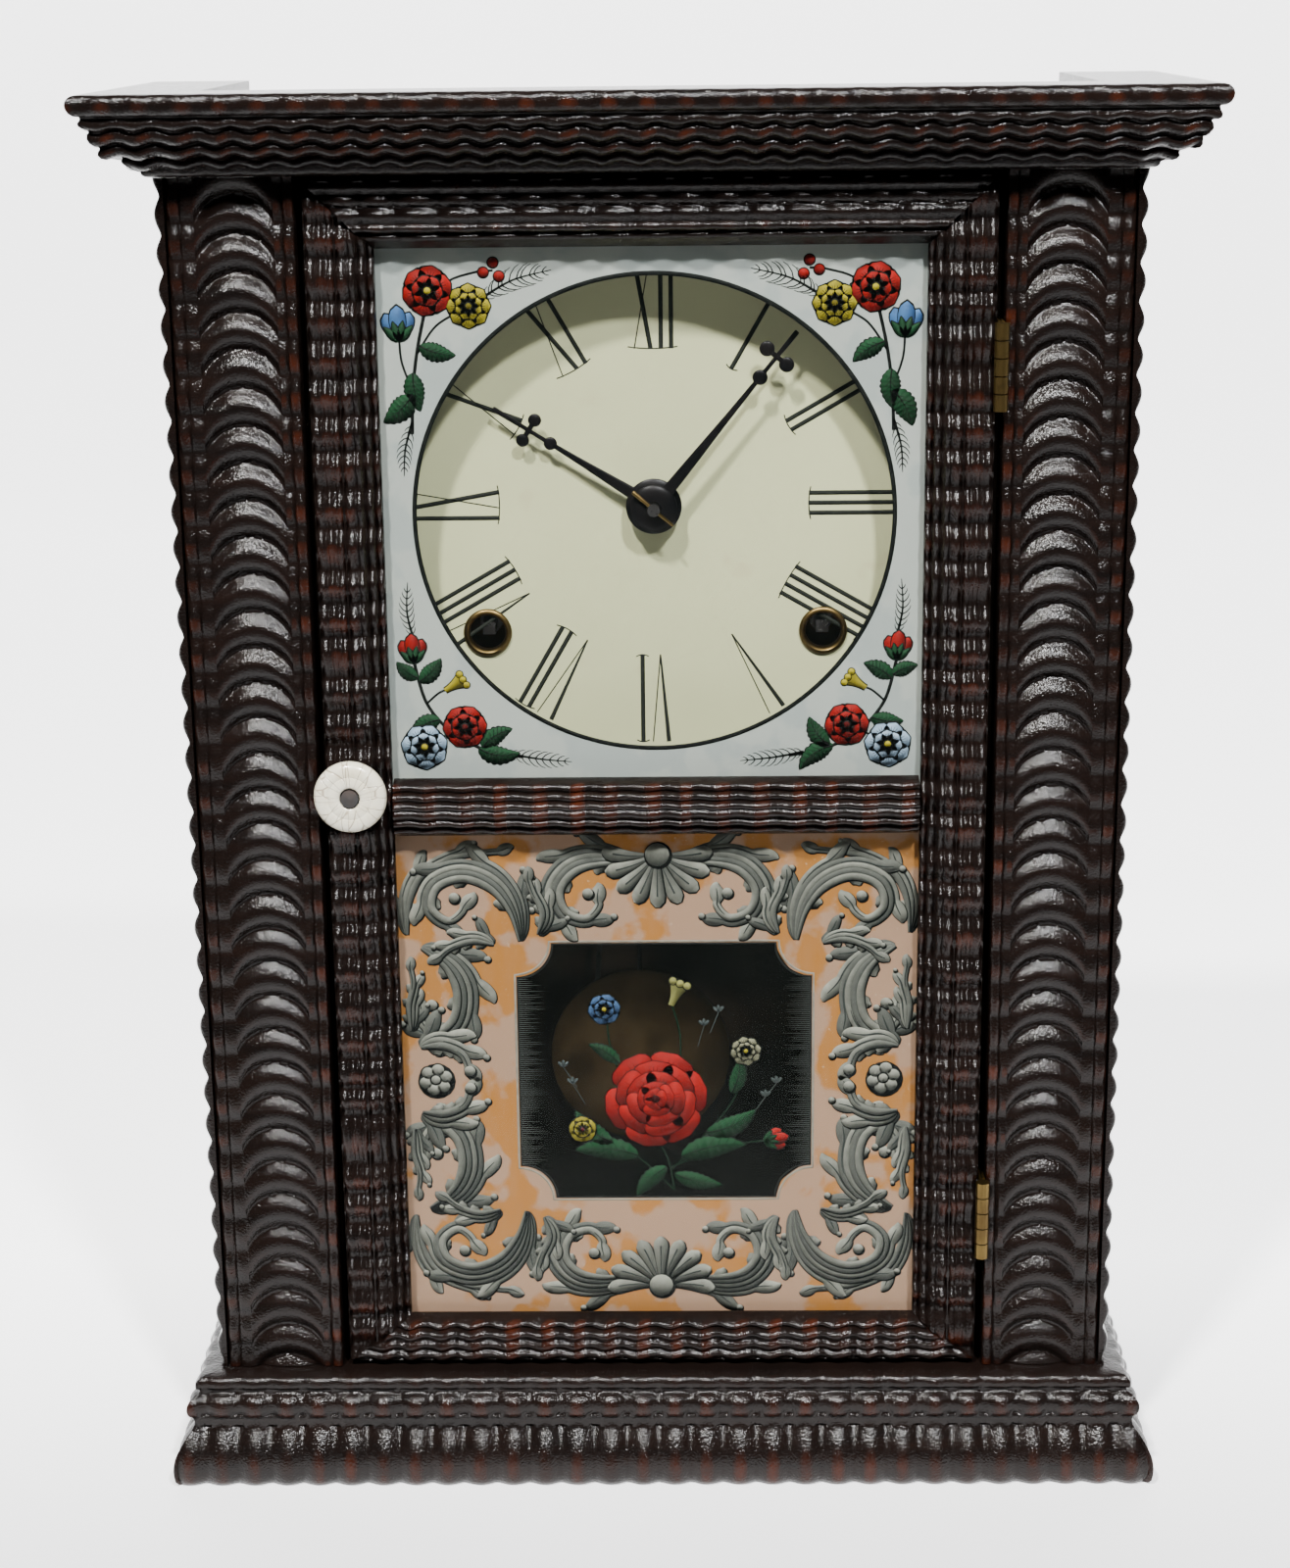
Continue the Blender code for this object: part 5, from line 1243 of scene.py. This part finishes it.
def plume(painting, marks, wide, count, level, eye=True):
    # acanthus: flutes along the outside of the spine, and one after another peels off into a rounded lobe
    spine = curve(marks, 7)
    last = len(spine) - 1
    ways = headings(spine)
    bends = [math.remainder(b - a, 2 * math.pi) for a, b in zip(ways, ways[1:])]
    side = -1 if sum(bends) > 0 else 1
    gap = wide / count
    for k in range(count):
        leave = max(3, int(last * (0.16 + 0.72 * k / (count - 1))))
        path = []
        for i in range(leave + 1):
            grow = 0.10 + 0.90 * math.sin(math.pi / 2 * min(1.0, 3.0 * i / last))
            path.append(on(*spine[i], gap * (count - 1 - k) * grow, ways[i] + side * math.pi / 2))
        way = headings(path)[-1]
        size = gap * (4.9 - 1.6 * k / (count - 1))
        for j in range(9):
            way += side * (0.10 - 0.004 * j * j if j < 5 else -0.05 - 0.06 * (j - 5))
            path.append(on(*path[-1], size / 8, way))
        foot = leave / (leave + 9)
        tone = 0.10 + 0.90 * ((k * 3) % count) / (count - 1)

        def width(s, foot=foot):
            if s < foot:
                return gap * (0.30 + 1.0 * min(1.0, 3 * s / foot))
            t = (s - foot) / (1 - foot)
            return gap * (1.30 + 1.15 * math.sin(math.pi * t ** 0.8)) * roundTip(t, 0.62, 0.03)

        low = level + 3 * k
        painting.stroke(shifted(path, 0.00018, 0.00024), lambda s: width(s) + 0.0004, stoneBlack, low)
        painting.stroke(path, width, lambda s: blend(stone, stoneLight, min(1.0, tone * (0.3 + 1.4 * s))), low + 1,
                        False, lambda s: blend(stoneDark, stone, 0.45 * s))
        if k % 2 == 0:  # every second lobe ends in a small roll
            stud(painting, *path[-1], gap * 0.56, gap * 0.72, low + 1, 0.0003, stoneDark, 0.0002)
        vein = path[max(2, len(path) - 16):-3]
        painting.stroke([on(*p, -side * gap * 0.10, w + math.pi / 2) for p, w in zip(vein, headings(vein))],
                        lambda s: 0.00022 + 0.00022 * math.sin(math.pi * s), stoneDark, low + 2)
    # short lobes on the hollow side
    for k in range(count - 1):
        i = int(last * (0.16 + 0.20 * k))
        if i > last * 0.74:
            break
        way = ways[i] - side * 0.35
        path = [spine[i]]
        for j in range(8):
            way -= side * (0.02 + 0.035 * j)
            path.append(on(*path[-1], gap * 0.34, way))
        flute(painting, path, lambda s: gap * (1 + math.sin(math.pi * s)) * roundTip(s, 0.6, 0.03), level, 0.0005)
    if eye:
        stud(painting, *spine[-1], gap * 0.95, gap * 1.15, level + 3 * count)


def rosette(painting, x, z, radius, level):
    painting.spot(x + 0.0003, z - 0.0004, radius * 1.05, stoneBlack, level)
    for i in range(6):
        place = on(x, z, radius * 0.58, 2 * math.pi * i / 6 + 0.3)
        stud(painting, *place, radius * 0.35, radius * 0.43, level + 1, 0.0, stoneDark, 0.0)
    stud(painting, x, z, radius * 0.25, radius * 0.34, level + 3, 0.0, stone, 0.0)


def shell(painting, x, z, size, up, level):
    # a fan of flutings, each with a dark crease, on a rolled foot
    for k in (4, -4, 3, -3, 2, -2, 1, -1, 0):
        a = up * (math.pi / 2) + 0.36 * k
        path = [on(x, z, size * (0.12 + 0.88 * i / 9), a + 0.05 * k * i / 9) for i in range(10)]
        low = level + 3 * (4 - abs(k))
        flute(painting, path, lambda s: size * (0.08 + 0.26 * s) * roundTip(s, 0.72, 0.05), low)
        painting.stroke(path[1:-2], lambda s: 0.0002 + 0.0003 * s, stoneDark, low + 2)
    stud(painting, x, z, size * 0.22, size * 0.26, level + 15, 0.0003)


def millimetres(marks, flip=1):
    return [(flip * x / 1000, z / 1000) for x, z in marks]


lowerArt = Painting(tablet["depth"], paint["fineLayer"])
scrolls = {
    "leaf": 0.0092, "flutes": 6, "rosetteX": 0.0620, "rosetteZ": 0.1135, "rosette": 0.0050,
    "shell": 0.0150, "shellBottom": 0.0510, "shellTop": 0.1785,
}
# marks in mm, size, flutes fewer, level, rolled eye, and 0 or the sum of the heights of a leaf and its twin
scrollLeaves = [
    # foot: a wide scroll beside the shell, one that opens to the corner, and a leaf along the edge
    (((7, 55), (15, 53.5), (23, 55), (27, 60), (25.5, 66), (20, 68), (16.5, 64.5), (19, 61)), 1.0, 0, 0, True, 0),
    (((38, 74), (40.5, 66.5), (45.5, 60), (53, 57), (60, 59.5), (61.5, 65), (57, 68.5), (53, 65), (55.5, 62)),
     1.0, 0, 20, True, 0),
    (((68.5, 73), (67.5, 64), (63.5, 56), (55, 51.5), (46, 50), (38, 49.5)), 0.55, 2, 0, False, 0),
    # sides: long leaves that turn toward each other
    (((65, 75), (58.5, 80.5), (55.5, 88), (57, 96), (62.5, 99.5), (66, 95), (62.5, 91.5)), 1.05, 0, 0, True, 227),
    (((66, 104), (60, 103.5), (54.5, 106), (52.5, 111)), 0.7, 2, 24, True, 227),
    # head: a scroll hung from the top edge, one that climbs to the corner, and a leaf along the edge
    (((6, 175.5), (14, 176), (22, 174), (26.5, 168.5), (25, 162.5), (19.5, 160.5), (16, 164.5), (19, 167.5)),
     1.0, 0, 0, True, 0),
    (((38, 154), (40.5, 162.5), (45.5, 169), (53, 172), (60, 169.5), (61.5, 163.5), (57, 160), (53, 163.5),
      (55.5, 166.5)), 1.0, 0, 20, True, 0),
    (((68.5, 156), (67.8, 165), (64, 173), (55.5, 178), (46, 179.5), (38, 180)), 0.55, 2, 0, False, 0),
    # small leaves that fill the gaps
    (((33, 72), (31.5, 66), (34, 60), (35.5, 55)), 0.5, 2, 30, False, 228),
    (((45, 74.5), (51, 73.5), (57, 75.5), (61, 79)), 0.5, 2, 36, False, 227.5),
    (((68.5, 99), (69, 92), (67.5, 85), (68.5, 79)), 0.45, 2, 30, False, 227),
]
for flip in (-1, 1):
    for marks, share, fewer, level, eye, heights in scrollLeaves:
        wide, count = scrolls["leaf"] * share, scrolls["flutes"] - fewer
        plume(lowerArt, millimetres(marks, flip), wide, count, level, eye)
        if heights:
            twin = [(x, heights - z) for x, z in marks]
            plume(lowerArt, millimetres(twin, flip), wide, count, level, eye)
    rosette(lowerArt, flip * scrolls["rosetteX"], scrolls["rosetteZ"], scrolls["rosette"], 60)
shell(lowerArt, 0.0, scrolls["shellBottom"], scrolls["shell"], 1, 40)
shell(lowerArt, 0.0, scrolls["shellTop"], scrolls["shell"], -1, 40)
lowerArt.stroke(windowOutline(0.0004), 0.0006, (0.20, 0.19, 0.15), 1, True)
lowerArt.stroke(windowOutline(-0.0003), 0.0005, (0.010, 0.011, 0.010), 2, True)
# fine shading lines beside the window's edge
shading = random.Random(11)
lineCount = window["shadingLines"]
for side in (-1, 1):
    edge = window["right"] if side > 0 else window["left"]
    for i in range(lineCount):
        z = window["bottom"] + 0.0105 + (window["top"] - window["bottom"] - 0.021) * i / (lineCount - 1)
        reach = 0.0030 + 0.0050 * shading.random()
        line = [(edge, z), (edge - side * reach, z)]
        lowerArt.stroke(line, lambda s: 0.00020 * (1 - s) + 0.00003, (0.050, 0.055, 0.050), 0)


def blossom(painting, x, z, radius, level):
    # a full red flower: broad petals in rings that close on the heart
    painting.spot(x, z, radius * 0.80, darkRed, level - 1)
    rings = ((6, 0.42, 0.70, 0.98), (6, 0.30, 0.58, 0.86), (5, 0.14, 0.50, 0.76), (4, 0.02, 0.38, 0.58),
             (3, -0.02, 0.26, 0.40))  # petals, start, reach and width
    for ring, (count, start, reach, wide) in enumerate(rings):
        for i in range(count):
            a = 2 * math.pi * i / count + 0.5 * ring + 0.2 + 0.12 * math.sin(5 * i)
            foot = on(x, z, radius * start, a)
            painting.petal(*foot, a, radius * reach * 1.03, radius * wide + 0.0006, (0.010, 0.0005, 0.0005), level)
            painting.petal(*foot, a, radius * reach, radius * wide, red, level + 1, (0.11, 0.003, 0.003))
            for side in (-0.30, 0.0, 0.30):
                vein = [on(*foot, radius * reach * s, a + side * (1 - 0.4 * s)) for s in (0.35, 0.6, 0.82)]
                painting.stroke(vein, lambda s: 0.00030 * (1 - s) + 0.00008, darkRed, level + 2)
            level += 3 if i % 2 else 0
        level += 3
    painting.spot(x, z, radius * 0.09, (0.020, 0.001, 0.001), level + 3)


# a loose bunch painted over the dark window
bunch = Painting(tablet["depth"], paint["fineLayer"])
stems = [  # mm
    ((4, 80), (2, 90), (-4, 100)), ((4, 80), (-6, 90), (-18, 97.5)), ((3, 86), (12, 96), (21, 108), (23.5, 120)),
    ((0, 96), (-12, 118), (-14.5, 133)), ((2, 95), (6, 122), (3.5, 136)), ((3, 87), (18, 93), (30, 95)),
]
for stem in stems:
    bunch.stroke(curve(millimetres(stem)), 0.00055, darkGreen, 0)
leaves = [  # place in mm, angle, length and width in mm, bend
    (-6, 90.5, 2.9, 17.5, 6.2, 0.3), (6, 90, 0.35, 18, 6.4, -0.3), (13, 97.5, 0.25, 15, 5.6, 0.4),
    (-13, 94.5, 2.6, 14, 5, -0.4), (2, 87, -2.5, 12, 4.6, 0.3), (4, 85, -0.35, 13.5, 4.6, 0.2),
    (20, 109, 1.2, 11, 4.2, 0.3), (-11, 118, 2.4, 10, 3.6, 0.3),
]
for x, z, angle, length, wide, bend in leaves:
    veinedLeaf(bunch, x / 1000, z / 1000, angle, length / 1000, wide / 1000, bend, 2)
blossom(bunch, -0.0010, 0.1075, 0.0128, 12)
flower(bunch, -0.0150, 0.1340, 0.0044, 6, (0.045, 0.095, 0.19), (0.010, 0.022, 0.055), yellow, 12, 0.2)
flower(bunch, 0.0240, 0.1215, 0.0042, 8, (0.21, 0.21, 0.13), (0.06, 0.06, 0.035), yellow, 12, 0.2)
bellFlower(bunch, 0.0035, 0.1350, 1.2, 0.0070, (0.20, 0.20, 0.060), (0.060, 0.060, 0.016), 12)
flower(bunch, -0.0215, 0.0985, 0.0038, 5, (0.23, 0.20, 0.016), olive, darkRed, 12, 0.4)
tulip(bunch, 0.0290, 0.0945, 0.25, 0.0070, red, darkRed, 12)
buds = ((12.5, 129), (16.5, 133), (-24, 112), (-26.5, 117), (29.5, 108), (32.5, 112))
for x, z in millimetres(buds):
    bunch.stroke([(x * 0.86, z - 0.006), (x, z)], 0.00022, (0.045, 0.055, 0.050), 1)
    for k in range(3):
        bunch.petal(x, z, 0.9 + 0.7 * k, 0.0022, 0.0009, (0.042, 0.052, 0.050), 3)
bunch.make("windowBunch", "door")
lowerArt.make("lowerScrolls", "door")
print("lower tablet painted")


# hands: tapered blades with three balls, and domed bosses
hands = {
    "minute": {"length": 0.0597, "angle": 39.3, "ball": 0.0443, "cross": 0.0502, "boss": 0.0062,
               "ballRadius": 0.0020, "offset": 0.0033, "root": 0.0034, "thickness": 0.0007, "bore": 0.0020},
    "hour": {"length": 0.0497, "angle": 302.0, "ball": 0.0320, "cross": 0.0378, "boss": 0.0074,
             "ballRadius": 0.00175, "offset": 0.0031, "root": 0.0036, "thickness": 0.0007, "bore": 0.0029},
}


def handMesh(name, sizes, depth):
    way = math.radians(90 - sizes["angle"])
    along, aside = Vector((math.cos(way), 0, math.sin(way))), Vector((-math.sin(way), 0, math.cos(way)))
    origin = Vector((0, atDepth(depth + sizes["thickness"] / 2), dialZ))
    root, ball, cross, length = (sizes[key] for key in ("root", "ball", "cross", "length"))
    radius, offset, boss, bore = (sizes[key] for key in ("ballRadius", "offset", "boss", "bore"))
    thick = sizes["thickness"] / 2
    shell = bmesh.new()

    def spot(u, v, w):
        return shell.verts.new(origin + along * u + aside * v + Vector((0, w, 0)))

    # blade: a lens-shaped section that narrows to the ball and runs on to the tip
    rows = [(0.003, root / 2), (ball * 0.3, root * 0.42), (ball * 0.7, root * 0.25), (ball, 0.0006),
            (cross - 0.001, 0.00055), (cross + 0.002, 0.00060), (length - 0.0004, 0.00070), (length, 0.00055)]
    turns = [2 * math.pi * k / 12 for k in range(12)]
    rings = [[spot(u, w * math.cos(a), thick * math.sin(a) * (0.9 + 0.1 * math.cos(2 * a))) for a in turns]
             for u, w in rows]
    for lower, upper in zip(rings, rings[1:]):
        for k in range(12):
            shell.faces.new((lower[k], lower[(k + 1) % 12], upper[(k + 1) % 12], upper[k]))
    shell.faces.new(rings[0])
    shell.faces.new(rings[-1])

    def lens(u, v):
        made = bmesh.ops.create_uvsphere(shell, u_segments=28, v_segments=12, radius=1.0)["verts"]
        for vert in made:
            c = vert.co.copy()
            flat = along * (u + c.x * radius) + aside * (v + c.y * radius)
            vert.co = origin + flat + Vector((0, c.z * thick * 1.5, 0))

    lens(ball, 0)
    middle = cross + 0.5 * radius
    for side in (-1, 1):
        lens(middle, side * offset)
        bar = [spot(middle + du, side * dv, dw) for dw in (-thick * 0.9, thick * 0.9)
               for du, dv in ((-0.0007, 0), (-0.0006, offset), (0.0006, offset), (0.0007, 0))]
        shell.faces.new(bar[:4])
        shell.faces.new(bar[4:])
        for k in range(4):
            shell.faces.new((bar[k], bar[(k + 1) % 4], bar[4 + (k + 1) % 4], bar[4 + k]))
    profile = [(bore, thick * 1.1), (boss - 0.0003, thick * 1.1), (boss, thick * 0.4), (boss, -thick * 0.6),
               (boss * 0.93, -thick * 1.7), (boss * 0.72, -thick * 2.6), (boss * 0.45, -thick * 3.1),
               (bore, -thick * 3.2)]
    joined = bmesh.new()
    for part in (meshOf(shell, name + "Blade"), turnedMesh(name + "Boss", profile, origin, 56, True)):
        joined.from_mesh(part)
        bpy.data.meshes.remove(part)
    bmesh.ops.recalc_face_normals(joined, faces=joined.faces)
    mesh = meshOf(joined, name)
    mesh.shade_smooth()
    mesh.set_sharp_from_angle(angle=math.radians(40))
    return mesh


for name in ("hour", "minute"):
    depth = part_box(name + "_hand")[0].y - frontY + 0.00007
    mesh = handMesh(name + "Hand", hands[name], depth)
    addPiece(name + "Hand", mesh, name, [name + "_hand"], blued)
pinLow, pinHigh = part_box("hand_pin")
pinWay = Vector((pinHigh.x - pinLow.x, 0, pinLow.z - pinHigh.z)).normalized()
profile = [(0, -0.0072), (0.00045, -0.0071), (0.00058, -0.0066), (0.00036, 0.0066), (0, 0.0071)]
pinMesh = turnedMesh("taperPin", profile, (0, 0, 0), 20, False, "Z")
pinTurn = pinWay.to_track_quat("Z", "Y").to_matrix().to_4x4()
pinMesh.transform(Matrix.Translation((pinLow + pinHigh) / 2) @ pinTurn)
addPiece("taperPin", pinMesh, "minute", ["hand_pin"], brass)
print("hands made")


# turned pieces: grommets and the bone knob
grommet = {"radius": 0.0065, "bore": 0.0048, "rise": 0.0011}
r, g, rise = grommet["radius"], grommet["bore"], grommet["rise"]
profile = [(g, 0.0020), (g + 0.0007, 0.0020), (g + 0.0007, -0.00025), (r, -0.00025), (r, -0.0005),
           (r - 0.0002, -0.0008), (r - 0.0006, 0.00005 - rise), (r - 0.0010, -rise), (g + 0.0003, -0.0008),
           (g, -0.0003)]
for side, sign in sides:
    middle = middleOf(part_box(side + "_winding_grommet"))
    middle.y = atDepth(faceDepth)
    addPiece(side + "Grommet", turnedMesh(side + "Grommet", profile, middle, 56, True), "case",
             [side + "_winding_grommet"], brass)

knob = {"radius": 0.0097, "front": -0.0060, "thickness": 0.0040, "hole": 0.0027}
middle = middleOf(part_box("door_knob"))
middle.y = frontY
r, hole, front = knob["radius"], knob["hole"], knob["front"]
back = front + knob["thickness"]
profile = [(hole, front + 0.0006), (hole + 0.0004, front + 0.00015), (r * 0.42, front), (r * 0.55, front + 0.0001),
           (r * 0.60, front + 0.0003), (r * 0.64, front + 0.0001), (r * 0.80, front + 0.0003),
           (r * 0.92, front + 0.0008), (r * 0.985, front + 0.0016), (r, front + 0.0024), (r * 0.99, back - 0.0007),
           (r * 0.93, back - 0.0001), (r * 0.86, back), (hole, back)]
addPiece("boneKnob", turnedMesh("boneKnob", profile, middle, 72, True), "latch", ["door_knob"], bone)
print("turned pieces made")


# finishes of the parts that keep their own shape
finishOf = {
    "ripple_wood": shellac, "pine": pine, "brass": brass, "steel": steel, "black_steel": blued, "iron": iron,
    "dial_paint": dialCream, "glass": glass, "bone": bone,
}
# the bob's browner brass is partly painted shade for the dim case
ownFinish = {"knob_shaft": iron, "pendulum_bob": dullBrass, "pendulum_rod": iron}
for name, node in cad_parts.items():
    for place in node.material_slots:
        place.material = ownFinish.get(name) or finishOf[place.material.name.split(".")[0]]
print("frame refinished")


# floor, wall, lights and camera
stageSizes = {"reach": 3.0, "front": -2.4, "wallY": 1.9, "wallTop": 2.6, "bend": 0.5}


def makeStage():
    f = Finish("paleStage")
    cloud = f.noise(3, 3)
    back = f.axes(f.place)[1]
    near = back.between(-0.38, -0.13)  # the front of the floor is a greyer sheet
    pale = f.mix(cloud.between(0.3, 0.7), (0.88, 0.88, 0.885), (0.85, 0.85, 0.86))
    f.surface({
        "Base Color": f.mix(near, (0.05, 0.05, 0.05), pale), "Roughness": 0.7,
        "Emission Color": f.mix(back.between(-0.10, 0.10), (0, 0, 0), (1, 1, 1)), "Emission Strength": 2.2,
    })
    reach, wall, bend = stageSizes["reach"], stageSizes["wallY"], stageSizes["bend"]
    turns = [math.pi / 2 * i / 12 for i in range(1, 13)]
    line = [(stageSizes["front"], 0.0), (wall - bend, 0.0)]
    line += [(wall - bend + bend * math.sin(a), bend - bend * math.cos(a)) for a in turns]
    line += [(wall, stageSizes["wallTop"])]
    sheet = bmesh.new()
    rows = [[sheet.verts.new((x, y, z)) for x in (-reach, reach)] for y, z in line]
    for lower, upper in zip(rows, rows[1:]):
        sheet.faces.new((lower[0], lower[1], upper[1], upper[0]))
    mesh = meshOf(sheet, "paleSweep")
    mesh.shade_smooth()
    mesh.materials.append(f.material)
    sweep = bpy.data.objects.new("paleSweep", mesh)
    bpy.context.scene.collection.objects.link(sweep)


lights = {
    "key": {"place": (-0.44, -1.07, 1.70), "size": 0.13, "power": 84, "tint": (1.0, 0.985, 0.96)},
    "second": {"place": (0.37, -1.07, 1.39), "size": 0.11, "power": 54, "tint": (0.98, 0.99, 1.0)},
}
lightAim = (0, 0, 0.25)


def addLight(name):
    light = lights[name]
    lamp = bpy.data.lights.new(name, "AREA")
    lamp.shape = "RECTANGLE"
    lamp.size = lamp.size_y = light["size"]
    lamp.energy = light["power"]
    lamp.color = light["tint"]
    holder = bpy.data.objects.new(name, lamp)
    bpy.context.scene.collection.objects.link(holder)
    holder.location = light["place"]
    holder.rotation_mode = "QUATERNION"
    holder.rotation_quaternion = (Vector(lightAim) - Vector(light["place"])).to_track_quat("-Z", "Y")


makeStage()
for name in lights:
    addLight(name)
roomLight = {"tint": (0.93, 0.96, 1.0, 1), "low": 0.018, "rise": 0.035}  # strength at eye level, and added overhead
world = bpy.data.worlds.new("softRoom")
bpy.context.scene.world = world
world.use_nodes = True
room = Bench(world.node_tree)
sky = room.add("ShaderNodeTexCoord").outputs["Generated"]
height = room.axes(sky)[2]
ceiling = height.between(0.0, 0.9) * roomLight["rise"] + roomLight["low"]
backdrop = world.node_tree.nodes["Background"]
backdrop.inputs["Color"].default_value = roomLight["tint"]
plug(world.node_tree, backdrop.inputs["Strength"], ceiling)

view = {"place": (0.0102, -0.76185, 0.4037), "lens": 65.0, "yaw": -1.032, "pitch": 15.624, "roll": -0.648}
yaw, pitch, roll = (math.radians(view[k]) for k in ("yaw", "pitch", "roll"))
forward = Vector((math.sin(yaw) * math.cos(pitch), math.cos(yaw) * math.cos(pitch), -math.sin(pitch)))
level = Vector((math.cos(yaw), -math.sin(yaw), 0))
upright = level.cross(forward)
right = level * math.cos(roll) + upright * math.sin(roll)
upward = upright * math.cos(roll) - level * math.sin(roll)
eye = bpy.data.cameras.new("photoView")
eye.lens = view["lens"]
eye.sensor_fit = "AUTO"
eye.sensor_width = 36
eye.clip_start, eye.clip_end = 0.01, 20
eyeObject = bpy.data.objects.new("photoView", eye)
bpy.context.scene.collection.objects.link(eyeObject)
matrix = Matrix((right, upward, -forward)).transposed().to_4x4()
matrix.translation = Vector(view["place"])
eyeObject.matrix_world = matrix
bpy.context.scene.camera = eyeObject
print("stage, lights and camera set")

bpy.context.view_layer.update()
